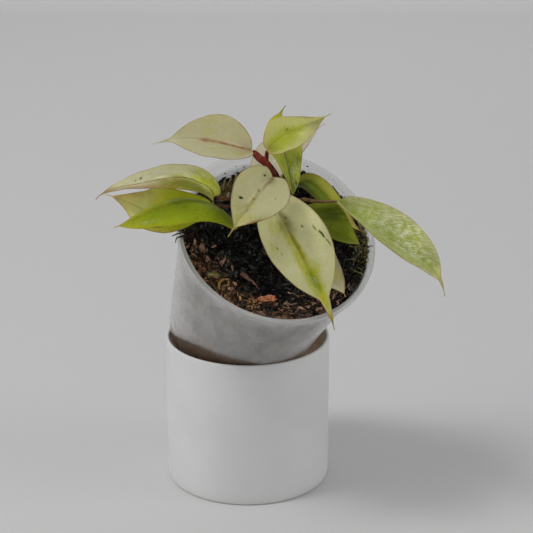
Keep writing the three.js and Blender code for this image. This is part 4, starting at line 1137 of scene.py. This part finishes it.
def mix_height(x, y):
    radius, angle = np.hypot(x, y), np.arctan2(y, x)
    share = smooth(radius / pot_inner(MIX_LEVEL), 0.45, 1)
    heap = 3.6 * np.cos(angle - math.radians(264))
    away = np.arctan2(np.sin(angle - math.pi), np.cos(angle - math.pi))
    edge = UNDER_RIM + heap - 4 * bell(away, 0, 0.3)
    edge = edge - 7 * bell(angle, 1.95, 0.4) + 2.6 * bell(angle, 0.75, 0.5)
    broad = np.sin(x * 0.31 + 1.7) * np.cos(y * 0.27 - 0.6)
    fine = 0.7 * np.sin(x * 0.53 - y * 0.47 + 2.1)
    return MIX_LEVEL + (edge - MIX_LEVEL) * share + 0.9 * (broad + fine)


# %% Surface and masks of the mix
MIX_SIDES, MIX_RINGS, MASK_REACH = 170, 62, 53
WALL_SPARE, EDGE_SPARE, MIX_FLOOR = 0.45, 0.75, -112.3
DEPTHS = (-20, -34, -48, -62, -76, -90, -103, -108)
CRUMB_LAYERS = ((2.6, 4.1, 1), (1.7, 1.9, 2), (1.0, 0.95, 3))


def mix_points():
    angle = np.linspace(0, 2 * np.pi, MIX_SIDES, endpoint=False)
    radii = np.linspace(0, 1, MIX_RINGS + 1)[1:] * (pot_inner(MIX_LEVEL) - EDGE_SPARE)
    r, a = np.meshgrid(radii, angle, indexing="ij")
    x, y = r * np.cos(a), r * np.sin(a)
    flat = np.column_stack([x.ravel(), y.ravel(), np.zeros(x.size)])
    crumbs = sum(high * (value_noise(flat, size, seed) - 0.5) for high, size, seed in CRUMB_LAYERS)
    z = mix_height(x, y).ravel() + crumbs
    limit, outer = pot_inner(z) - WALL_SPARE, np.hypot(flat[:, 0], flat[:, 1])
    scale = np.where(outer > limit, limit / outer, 1.0)
    scale[-MIX_SIDES:] = limit[-MIX_SIDES:] / outer[-MIX_SIDES:]
    top = np.column_stack([flat[:, 0] * scale, flat[:, 1] * scale, z])
    walls = [level_ring(MIX_SIDES, pot_inner(h) - WALL_SPARE, h) for h in DEPTHS]
    return np.vstack([top] + walls + [[[0, 0, mix_height(0.0, 0.0)], [0, 0, MIX_FLOOR]]])


def mix_masks(points):
    edge = np.clip(np.hypot(points[:, 0], points[:, 1]) / MASK_REACH, 0, 1)
    at = {degrees: turn_of(points, degrees, reach) for degrees, reach in (
        (175, 12), (197, 16), (208, 28), (240, 22), (268, 26), (284, 18), (349, 9), (354, 19))}
    brown = smooth(edge, 0.72, 0.9) * np.maximum(at[208], at[240])
    brown = np.maximum(brown, 0.5 * smooth(edge, 0.8, 0.92) * at[349])
    layered = smooth(edge, 0.86, 0.92) * at[268]
    pinkish = smooth(edge, 0.58, 0.68) * (1 - smooth(edge, 0.84, 0.92)) * at[197]
    pinkish = np.maximum(pinkish, 0.9 * smooth(edge, 0.55, 0.7) * at[284])
    pinkish = np.maximum(pinkish, 0.5 * smooth(edge, 0.7, 0.85) * at[175])
    moss = smooth(edge, 0.84, 0.94) * at[354]
    # Painted shade: the mix stays unbrowned, so near black, in a thin strip at the front rim by the front
    # chip, where the hollow under the chip lies in shade.
    painted_gap_shade = 1 - oval(points[:, 0], points[:, 1], -15, -44.8, 11, 2.8)
    top = (np.arange(len(points)) < MIX_RINGS * MIX_SIDES).astype(float)
    return {"brown": brown * painted_gap_shade, "layered": layered * painted_gap_shade, "pinkish": pinkish, "moss": moss, "top": top}


def mix_piece():
    points = mix_points()
    faces = capped_faces(MIX_RINGS + len(DEPTHS), MIX_SIDES, flip=False)
    piece = make_piece("fine_potting_mix", in_pot(points), faces, mix_masks(points))
    slope = np.arctan2(points[:, 1], points[:, 0])
    around = np.column_stack([-np.sin(slope), np.cos(slope), 0 * slope]) @ POT_MATRIX.T
    layer = piece.data.attributes.new("round", "FLOAT_VECTOR", "POINT")
    layer.data.foreach_set("vector", around.astype(np.float32).ravel())
    return piece


# %% [markdown]
# ## Soil and bark colours
# One group serves the mix, the flakes, the fibres and the wood: a dark tone and a brown one, mixed
# by lumps, with fine grit over both. How warm a place is comes from a value on the points, and each
# flake has a tone of its own, which picks its brown from a row of bark tones.

# %% Soil and bark group
crumbs, given, result = new_group(
    "Soil and bark",
    [("Dark", "Color", (0.01, 0.008, 0.006, 1)), ("Brown", "Color", (0.1, 0.05, 0.025, 1))]
    + [("Warm", "Float", 0.5), ("Grain", "Float", 260.0)],
    [("Color", "Color"), ("Roughness", "Float"), ("Height", "Float")],
)
place = object_place(crumbs)
lumps = noise(crumbs, place, given["Grain"], 5, 0.65, 0.8)
grit = noise(crumbs, place, 1100, 4, 0.7)
share = plus(crumbs, times(crumbs, given["Warm"], 0.6), about_half(crumbs, lumps, 1.2))
ground = blend_colour(crumbs, span(crumbs, share, 0.05, 0.6), given["Dark"], given["Brown"])
feed(crumbs, result, {
    "Color": dimmed(crumbs, ground, span(crumbs, grit, 0.3, 0.7, 0.4, 1.6)),
    "Roughness": span(crumbs, grit, 0.3, 0.7, 0.6, 0.95),
    "Height": plus(crumbs, times(crumbs, lumps, 0.7), times(crumbs, grit, 0.3)),
})

# %% Where the tones come from
BARK_TONES = [(0.0, (34, 27, 22)), (0.2, (74, 56, 42)), (0.36, (112, 96, 64)), (0.5, (136, 100, 82))]
BARK_TONES += [(0.64, (206, 138, 90)), (0.78, (104, 70, 52)), (0.9, (224, 178, 118)), (1.0, (190, 128, 92))]


def own_tone(tree):
    return attribute(tree, "tone")


def brown_share(tree):
    return attribute(tree, "brown")


def shuffled_tone(tree, factor):
    return maths(tree, "FRACT", times(tree, own_tone(tree), factor))


def bark_tones(tree):
    ramp = node(tree, "ShaderNodeValToRGB", {0: shuffled_tone(tree, 7.31)})
    stops = ramp.color_ramp.elements
    stops[0].color, stops[1].color = tone(*BARK_TONES[0][1]), tone(*BARK_TONES[-1][1])
    for position, colour in BARK_TONES[1:-1]:
        stops.new(position).color = tone(*colour)
    return ramp.outputs[0]


def near_rim(least, gain):
    def warmth(tree):
        share = plus(tree, times(tree, brown_share(tree), gain), least)
        return times(tree, span(tree, own_tone(tree), 0.1, 0.75), share)

    return warmth


def damp_lumps(tree):
    lumps = span(tree, noise(tree, object_place(tree), 230, 3, 0.6), 0.52, 0.66)
    return blend_colour(tree, lumps, tone(12, 12, 12), tone(66, 70, 69))


def damp_flakes(tree):
    share = span(tree, shuffled_tone(tree, 3.7), 0.5, 1.0)
    return blend_colour(tree, share, tone(14, 14, 14), tone(86, 90, 88))


# %% Soil and bark materials
LUMP_GRAIN, FIBRE_GRAIN, FINE_GRAIN, MOSS_GRAIN = 260.0, 300.0, 420.0, 500.0


def earthy(name, dark, brown, warm_from, depth, grain=FINE_GRAIN):
    material, tree, shader = new_material(name, {"Specular IOR Level": 0.22})
    dark, brown = (colour(tree) if callable(colour) else tone(*colour) for colour in (dark, brown))
    values = {"Dark": dark, "Brown": brown, "Grain": grain, "Warm": warm_from(tree)}
    made = node(tree, "ShaderNodeGroup", values, node_tree=crumbs).outputs
    feed(tree, shader, {
        "Base Color": made["Color"], "Roughness": made["Roughness"],
        "Normal": bump(tree, made["Height"], depth),
    })
    return material


mix_material = earthy("Potting mix", damp_lumps, (72, 56, 44), brown_share, 0.0012, LUMP_GRAIN)
flake_material = earthy("Bark flakes", damp_flakes, bark_tones, near_rim(0.1, 1.1), 0.0004)
sliver_material = earthy("Bark slivers", (40, 32, 26), bark_tones, near_rim(0.35, 1.2), 0.0003)
fibre_material = earthy("Fibres", (36, 35, 34), (88, 81, 72), own_tone, 0.0002, FIBRE_GRAIN)
layer_material = earthy("Bark layers", (28, 22, 18), (134, 106, 86), own_tone, 0.0004)
pinkish_material = earthy("Pinkish bark", (48, 36, 32), (206, 158, 138), own_tone, 0.0004)
strand_material = earthy("Rim fibres", (52, 40, 32), bark_tones, near_rim(0.4, 0.9), 0.0002, FIBRE_GRAIN)
moss_material = earthy("Moss", (50, 46, 30), (176, 166, 114), own_tone, 0.0002, MOSS_GRAIN)

mix = mix_piece()
finish_piece(mix, mix_material, "potting_mix", "potting_mix")

# %% [markdown]
# ## Loose stuff on the mix
# Real mix is a jumble of bark flakes, crumbs and fibres, thousands of them, so a rule lays them
# out. A Geometry Nodes tree throws points on the mix's top, puts one small shape on each, turns and
# stretches it at random with a fixed seed, and then dents every flake with noise so that no two
# are alike. The tree realizes its instances, because an export drops instances, and the result is
# made a plain mesh.

# %% Geometry Nodes: points, turns and dents
def scatter_inputs(**sizes):
    inputs = [("Geometry", "Geometry", None)]
    for label, value in sizes.items():
        inputs.append((label.replace("_", " "), "Int" if isinstance(value, int) else "Float", value))
    inputs += [("Seed", "Int", 1), ("Material", "Material", None)]
    return inputs + [("Mask", "String", "top"), ("Yaw", "Float", 3.1416)]


def random_number(tree, low, high, seed):
    inputs = {2: low, 3: high, "Seed": seed}
    return node(tree, "FunctionNodeRandomValue", inputs, data_type="FLOAT").outputs[1]


def thrown_points(tree, given):
    where = node(tree, "GeometryNodeInputNamedAttribute", {"Name": given["Mask"]}, data_type="FLOAT")
    amount = times(tree, where.outputs["Attribute"], given["Density"])
    inputs = {"Mesh": given["Geometry"], "Density": amount, "Seed": given["Seed"]}
    spread = node(tree, "GeometryNodeDistributePointsOnFaces", inputs, distribute_method="RANDOM")
    limits = enumerate((given["Tilt"], given["Tilt"], given["Yaw"]))
    leans = {k: times(tree, random_number(tree, -1.0, 1.0, 11 + k), limit) for k, limit in limits}
    tilt = node(tree, "ShaderNodeCombineXYZ", leans).outputs[0]
    turn = node(tree, "FunctionNodeEulerToRotation", {"Euler": tilt}).outputs[0]
    round_rim = node(tree, "GeometryNodeInputNamedAttribute", {"Name": "round"}, data_type="FLOAT_VECTOR")
    inputs = {"Rotation": spread.outputs["Rotation"], "Vector": round_rim.outputs[0]}
    laid = node(tree, "FunctionNodeAlignRotationToVector", inputs, axis="X", pivot_axis="Z").outputs[0]
    both = node(tree, "FunctionNodeRotateRotation", {0: laid, 1: turn}, rotation_space="LOCAL")
    return spread.outputs["Points"], both.outputs[0]


def dented(tree, geometry, given):
    place = node(tree, "GeometryNodeInputPosition").outputs[0]
    inputs = {"Vector": place, "Scale": given["Dent scale"], "Detail": 1.0}
    wobble = node(tree, "ShaderNodeTexNoise", inputs).outputs["Color"]
    centred = vector_maths(tree, "SUBTRACT", {0: wobble, 1: (0.5, 0.5, 0.5)})[0]
    push = vector_maths(tree, "SCALE", {0: centred, "Scale": given["Dent"]})[0]
    return node(tree, "GeometryNodeSetPosition", {"Geometry": geometry, "Offset": push}).outputs[0]


def laid_out(tree, given, shape, size, seed, points, turn):
    inputs = {"Points": points, "Instance": shape, "Rotation": turn, "Scale": size}
    laid = node(tree, "GeometryNodeInstanceOnPoints", inputs).outputs[0]
    inputs = {"Geometry": laid, "Name": "tone", "Value": random_number(tree, 0.0, 1.0, seed)}
    toned = node(tree, "GeometryNodeStoreNamedAttribute", inputs, data_type="FLOAT", domain="INSTANCE")
    inputs = {"Geometry": toned.outputs[0]}
    return dented(tree, node(tree, "GeometryNodeRealizeInstances", inputs).outputs[0], given)


def give_material(tree, given, result, geometry):
    inputs = {"Geometry": geometry, "Material": given["Material"]}
    feed(tree, result, {"Geometry": node(tree, "GeometryNodeSetMaterial", inputs).outputs[0]})


# %% Geometry Nodes: flakes and fibres
GEOMETRY_OUT = [("Geometry", "Geometry")]


def flake_tree():
    inputs = scatter_inputs(
        Density=1e5, Shortest=0.001, Longest=0.004, Narrow=0.5, Flat=0.2, Tilt=0.5, Dent=0.002,
        Dent_scale=500.0, Rounds=1)
    tree, given, result = new_group("Flakes on the mix", inputs, GEOMETRY_OUT, "GeometryNodeTree")
    inputs = {"Radius": 0.5, "Subdivisions": given["Rounds"]}
    shape = node(tree, "GeometryNodeMeshIcoSphere", inputs).outputs["Mesh"]
    long = random_number(tree, given["Shortest"], given["Longest"], 21)
    wide = times(tree, long, times(tree, given["Narrow"], random_number(tree, 0.6, 1.4, 22)))
    thin = times(tree, long, times(tree, given["Flat"], random_number(tree, 0.6, 1.4, 23)))
    size = node(tree, "ShaderNodeCombineXYZ", {0: long, 1: wide, 2: thin}).outputs[0]
    give_material(tree, given, result, laid_out(tree, given, shape, size, 24, *thrown_points(tree, given)))
    return tree


def fibre_tree():
    inputs = scatter_inputs(
        Density=1e4, Shortest=0.004, Longest=0.012, Thick=0.0002, Arch=0.15, Tilt=0.3, Dent=0.004,
        Dent_scale=160.0)
    tree, given, result = new_group("Fibres on the mix", inputs, GEOMETRY_OUT, "GeometryNodeTree")
    middle = node(tree, "ShaderNodeCombineXYZ", {0: 0.05, 1: 0.2, 2: given["Arch"]}).outputs[0]
    inputs = {"Resolution": 7, "Start": (-0.5, 0, 0), "Middle": middle, "End": (0.5, 0, 0)}
    strand = node(tree, "GeometryNodeCurveQuadraticBezier", inputs).outputs[0]
    long = random_number(tree, given["Shortest"], given["Longest"], 31)
    curves = laid_out(tree, given, strand, long, 32, *thrown_points(tree, given))
    inputs = {"Resolution": 4, "Radius": given["Thick"]}
    ring = node(tree, "GeometryNodeCurvePrimitiveCircle", inputs).outputs["Curve"]
    inputs = {"Curve": curves, "Profile Curve": ring, "Fill Caps": True}
    give_material(tree, given, result, node(tree, "GeometryNodeCurveToMesh", inputs).outputs[0])
    return tree


# %% Lay the loose stuff
LITTER_SPARE = 0.35


def keep_in_pot(mesh):
    at = np.zeros(len(mesh.vertices) * 3, np.float32)
    mesh.vertices.foreach_get("co", at)
    local = (at.reshape(-1, 3) / MM - RIM_CENTRE) @ POT_MATRIX
    limit = pot_inner(np.minimum(local[:, 2], 0)) - LITTER_SPARE
    reach = np.hypot(local[:, 0], local[:, 1])
    local[:, :2] *= np.minimum(1, limit / np.maximum(reach, 1e-6))[:, None]
    mesh.vertices.foreach_set("co", (in_pot(local) * MM).astype(np.float32).ravel())
    mesh.update()


def scatter(name, surface, kind, material, slot, numbers):
    tree, keys, is_smooth = kind
    bed = add_object(name, surface.copy())
    layer = bed.modifiers.new("scatter", "NODES")
    layer.node_group = tree
    sockets = {item.name: item.identifier for item in tree.interface.items_tree if item.in_out == "INPUT"}
    for key, value in (dict(zip(keys, numbers)) | {"Material": material}).items():
        layer[sockets[key]] = value
    mesh = make_plain(bed)
    keep_in_pot(mesh)
    set_smooth(mesh, is_smooth)
    finish_piece(bed, material, slot)


FORM, WHERE = ("Tilt", "Dent", "Dent scale"), ("Seed", "Mask", "Yaw")
SOIL, BARK_SLOT = "potting_mix", "bark_brown"
FLAKE = (flake_tree(), ("Density", "Shortest", "Longest", "Narrow", "Flat", *FORM, "Rounds", *WHERE), False)
FIBRE = (fibre_tree(), ("Density", "Shortest", "Longest", "Thick", "Arch", *FORM, *WHERE), True)
LITTER = (
    ("bark_flakes", FLAKE, flake_material, BARK_SLOT,
     (80000.0, 0.0024, 0.0072, 0.34, 0.18, 0.75, 0.0024, 480.0, 2, 4)),
    ("bark_slivers", FLAKE, sliver_material, BARK_SLOT,
     (330000.0, 0.0018, 0.0068, 0.36, 0.25, 0.6, 0.002, 480.0, 2, 12, "brown", 1.2)),
    ("bark_layers", FLAKE, layer_material, BARK_SLOT,
     (330000.0, 0.005, 0.012, 0.15, 0.09, 0.12, 0.0018, 380.0, 2, 17, "layered", 0.14)),
    ("pinkish_bark", FLAKE, pinkish_material, BARK_SLOT,
     (240000.0, 0.003, 0.0075, 0.24, 0.2, 0.6, 0.002, 420.0, 2, 19, "pinkish", 0.9)),
    ("fine_crumbs", FLAKE, flake_material, SOIL,
     (420000.0, 0.0006, 0.0024, 0.7, 0.55, 1.5, 0.0012, 900.0, 1, 9)),
    ("root_fibres", FIBRE, fibre_material, SOIL,
     (26000.0, 0.003, 0.011, 0.0003, 0.12, 0.5, 0.0045, 170.0, 5)),
    ("rim_fibres", FIBRE, strand_material, BARK_SLOT,
     (500000.0, 0.002, 0.008, 0.00022, 0.12, 0.5, 0.0045, 170.0, 15, "brown", 1.0)),
    ("moss_tufts", FIBRE, moss_material, SOIL,
     (1400000.0, 0.002, 0.0065, 0.00028, 0.35, 1.4, 0.004, 260.0, 8, "moss")),
)
for name, *settings in LITTER:
    scatter(name, mix.data, *settings)

# %% [markdown]
# ## Crumbs and moss on the clear wall
# Some litter sticks to the wall above the mix. It is scattered in the same way, over a bed that
# follows the wall, and the bed is removed afterwards.

# %% Litter above the mix
WALL_SIDES, WALL_HEIGHTS, BED_SPARE = 120, np.linspace(-12, -1, 8), 0.5
WALL_LITTER = (
    ("wall_crumbs", FLAKE, flake_material, SOIL,
     (190000.0, 0.0005, 0.0022, 0.6, 0.4, 1.2, 0.0012, 900.0, 1, 21, "dirty")),
    ("wall_moss", FIBRE, moss_material, SOIL,
     (1500000.0, 0.002, 0.005, 0.00028, 0.35, 1.4, 0.004, 260.0, 30, "mossy")),
)


def wall_bed():
    points = np.vstack([level_ring(WALL_SIDES, pot_inner(h) - BED_SPARE, h) for h in WALL_HEIGHTS])
    dirty = 0.45 * turn_of(points, 55, 40) + 0.15 * turn_of(points, 150, 25)
    dirty = (dirty + 0.35 * turn_of(points, 350, 40)) * (1 - 0.85 * smooth(points[:, 2], -9, -2))
    mossy = turn_of(points, 347, 16) * (1 - smooth(points[:, 2], -2.5, -0.8))
    faces = grid_faces(len(WALL_HEIGHTS), WALL_SIDES, closed=True)
    return make_piece("wall_bed", in_pot(points), faces, {"dirty": dirty, "mossy": mossy})


wall = wall_bed()
for name, *settings in WALL_LITTER:
    scatter(name, wall.data, *settings)
bpy.data.objects.remove(wall)

# %% [markdown]
# ## Twig, roots, a curl of bark and an old stump
# These few are placed one by one, as tubes along their own curves in the growing pot's frame. A
# little noise makes them lumpy, and a warmth sets how brown each of them is.

# %% Twig and roots
LITTLE_STEPS, LITTLE_SIDES = 6, 10
twig_material = earthy("Twigs", (34, 30, 28), (142, 104, 90), own_tone, 0.0004)
wood_material = earthy("Old wood", (50, 45, 32), (146, 130, 88), own_tone, 0.0005)
golden_material = earthy("Golden bark", (70, 52, 27), (178, 138, 80), own_tone, 0.0005)
TWIGS = {
    "reddish_twig": (twig_material, 1.0, [
        [(-26, -19.5, -5.2, 1.5), (-24, -22.5, -4.2, 1.25), (-21.3, -26.5, -4.0, 0.6),
         (-18.5, -31.2, -4.6, 0.16)]]),
    "rim_roots": (twig_material, 0.0, [
        [(-47, 12.5, -5, 0.6), (-49, 11, -2.4, 0.6), (-53.6, 8.9, 0.6, 0.55), (-57.7, 7.8, 1.3, 0.45),
         (-61.3, 7.3, 0.6, 0.2)],
        [(-48, 13, -4, 0.5), (-52, 11, 0.4, 0.5), (-56.4, 9, 2, 0.4), (-58.6, 11, 1.2, 0.2)],
        [(-50, 7, -3, 0.5), (-55, 6, 0.9, 0.5), (-59, 5.3, 1, 0.35), (-60, 3.5, -1, 0.2)],
        [(50, -12, -5, 0.5), (53, -14, -2.6, 0.4), (54.6, -15.3, 0.2, 0.2)]]),
    "curled_bark": (golden_material, 1.0, [
        [(-42, -28.5, -4, 0.5), (-41.2, -25, -3, 0.9), (-38.6, -22.9, -2.4, 0.7),
         (-35.6, -23.6, -2.2, 0.45), (-36.4, -26.8, -2.6, 0.8), (-39.6, -28.4, -3.6, 0.5)]]),
    "old_stump": (wood_material, 0.7, [
        [(-22, 33.5, -3, 1.8), (-22.5, 35, 2, 1.4), (-22.8, 36.6, 7, 0.3)],
        [(-19, 34.5, -3, 1.7), (-19.2, 36, 3, 1.3), (-19.1, 37, 8, 0.25)],
        [(-15, 36, -3, 1.6), (-15.3, 37.5, 3, 1.1), (-15.6, 38.5, 6.5, 0.3)],
        [(-24.5, 31.5, -3, 1.2), (-25, 33, 1, 0.9), (-25.6, 34, 4.5, 0.25)]]),
}
for name, (material, warmth, runs) in TWIGS.items():
    points, faces = joined(tube(run, LITTLE_STEPS, LITTLE_SIDES) for run in runs)
    lumps = 0.5 * (value_noise(points, 1.1, 7) - 0.5)[:, None]
    tones = {"tone": warmth + 0.5 * (value_noise(points, 2.0, 8) - 0.5)}
    finish_piece(make_piece(name, in_pot(points + lumps), faces, tones), material, "bark_brown")


# %% [markdown]
# ## Larger pieces of bark
# Three bigger pieces lie loose on the mix. Each starts as a copy of its solid, whose corners are
# merged and whose faces are cut into a fine grid. Noise then splits it along its length, because
# bark breaks in long layers, and bites into its ends.

# %% Cut a solid finely
LONGEST_EDGE, MERGE_WITHIN = 0.0007, 1e-6


def cut_finely(name):
    form = bmesh.new()
    form.from_mesh(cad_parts[name].data)
    bmesh.ops.remove_doubles(form, verts=form.verts, dist=MERGE_WITHIN)
    bmesh.ops.subdivide_edges(form, edges=form.edges, cuts=1, use_grid_fill=True)
    bmesh.ops.triangulate(form, faces=form.faces)
    for _ in range(4):
        long_edges = [edge for edge in form.edges if edge.calc_length() > LONGEST_EDGE]
        bmesh.ops.subdivide_edges(form, edges=long_edges, cuts=1)
        bmesh.ops.triangulate(form, faces=form.faces)
    twins = {}
    for face in form.faces:
        twins.setdefault(frozenset(face.verts), []).append(face)
    doubled = [face for same in twins.values() if len(same) > 1 for face in same]
    bmesh.ops.delete(form, geom=doubled, context="FACES")
    form.normal_update()
    return form


# %% Broken bark
ALONG_GRAIN, LAYER_SIZE, BITE_SIZE = 0.82, 0.9, 2.6
LAYER_LEVEL, BITE_LEVEL = 0.62, 0.6


def broken_bark(name, grain_way, rough, taper, warmth, fade):
    form = cut_finely(name)
    at = np.array([vert.co for vert in form.verts]) / MM
    out = np.array([vert.normal for vert in form.verts])
    along = unit(np.array(POT_TURN @ Vector((math.cos(grain_way), math.sin(grain_way), 0))))
    squeezed = at - ALONG_GRAIN * (at @ along)[:, None] * along
    layers = value_noise(squeezed, LAYER_SIZE, 5) - LAYER_LEVEL
    bites = value_noise(at, BITE_SIZE, 6) - BITE_LEVEL
    centre = (at.min(0) + at.max(0)) / 2
    reach = (at - centre) @ along
    flank = np.cross(POT_AXIS, along)
    thinner = 1 - taper * np.clip(np.abs(reach) / np.abs(reach).max(), 0, 1) ** 2
    at = at - ((1 - thinner) * ((at - centre) @ flank))[:, None] * flank
    at = at - (0.6 * (1 - thinner) * ((at - centre) @ POT_AXIS))[:, None] * POT_AXIS
    moved = at + out * (rough * (1.1 * layers + 0.8 * bites))[:, None]
    for vert, place in zip(form.verts, moved * MM):
        vert.co = place
    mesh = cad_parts[name].data.copy()
    form.to_mesh(mesh)
    form.free()
    warm = warmth * (1 - fade * smooth(reach, -1.0, 1.5))
    store_values(mesh, {"tone": warm + 1.2 * layers + 0.4 * bites})
    set_smooth(mesh, False)
    return add_object("fine_" + name, mesh)


BARK = {
    "bark_chunk_back": ((1.35, 1.6, 0.25, 0.9, 0.0), (54, 50, 37), (156, 146, 108), "bark_dark"),
    "bark_chip_front": ((-0.03, 2.0, 0.75, 1.1, 0.0), (102, 66, 48), (238, 160, 118), "bark_brown"),
    "bark_chip_left": ((-0.24, 0.8, 0.5, 1.1, 0.7), (46, 42, 30), (142, 130, 88), "bark_brown"),
}
for name, (form_values, dark, brown, slot) in BARK.items():
    chunk = broken_bark(name, *form_values)
    finish_piece(chunk, earthy(name + "_bark", dark, brown, own_tone, 0.0005), slot, name)

# %% [markdown]
# ## Floor, light and camera
# The plant stands on a plain pale floor that curves up into the backdrop. A soft light high on the
# left gives the bright side, a larger low one on each side lifts the shadows, and a weak one over
# the backdrop keeps it as pale as the floor in front. The camera stands a metre away and looks a
# little down.

# %% Floor and backdrop
BEND_START, RADIUS, BEND_POINTS = 1250, 160, 10
BACKDROP_REACH, BACKDROP_TOP = 4500, 2600


def backdrop():
    angles = np.radians(np.linspace(0, 90, BEND_POINTS))
    curve = [(BEND_START + RADIUS * math.sin(a), RADIUS - RADIUS * math.cos(a)) for a in angles]
    profile = [(-BACKDROP_REACH, 0), (0, 0)] + curve + [(BEND_START + RADIUS, BACKDROP_TOP)]
    points = [(x, y, z) for y, z in profile for x in (-BACKDROP_REACH, BACKDROP_REACH)]
    faces = [(2 * i, 2 * i + 1, 2 * i + 3, 2 * i + 2) for i in range(len(profile) - 1)]
    return make_piece("floor", points, faces)


floor = backdrop()
floor_values = {"Base Color": (0.682, 0.682, 0.682, 1), "Roughness": 0.6, "Specular IOR Level": 0.2}
floor.data.materials.append(new_material("Pale floor", floor_values)[0])


# %% Lights
LIGHTS = {
    "key": ((-1.10, -0.52, 2.0), (0, 0, 0.1), 0.55, 13.6, 180),
    "left": ((-1.9, -0.5, 0.7), (0, 0, 0.1), 1.0, 7.3, 180),
    "right": ((1.9, -0.4, 0.7), (0, 0, 0.1), 1.0, 6.6, 180),
    "backdrop": ((0.2, 1.3, 1.6), (0.2, 1.32, 0), 0.8, 0.52, 70),
}
AMBIENT = {"Color": (1, 1, 1, 1), "Strength": 0.417}


def soft_light(name, place, aim, size, power, spread):
    lamp = bpy.data.lights.new(name, "AREA")
    lamp.shape, lamp.size, lamp.energy, lamp.spread = "SQUARE", size, power, math.radians(spread)
    light = add_object(name, lamp)
    light.location = place
    light.rotation_euler = (Vector(aim) - Vector(place)).to_track_quat("-Z", "Y").to_euler()


for name, settings in LIGHTS.items():
    soft_light(name, *settings)
world = bpy.data.worlds.new("studio")
bpy.context.scene.world = world
world.use_nodes = True
feed(world.node_tree, world.node_tree.nodes["Background"], AMBIENT)

# %% Camera
HALF_VIEW, SENSOR, CAMERA_PLACE, CAMERA_PITCH = 8, 36, (0.0115, -1.073, 0.537), 69.5
camera = add_object("camera", bpy.data.cameras.new("camera"))
camera.data.sensor_width = SENSOR
camera.data.lens = SENSOR / 2 / math.tan(math.radians(HALF_VIEW))
camera.location = CAMERA_PLACE
camera.rotation_euler = (math.radians(CAMERA_PITCH), 0, 0)
bpy.context.scene.camera = camera
bpy.context.scene.view_settings.view_transform = "Standard"
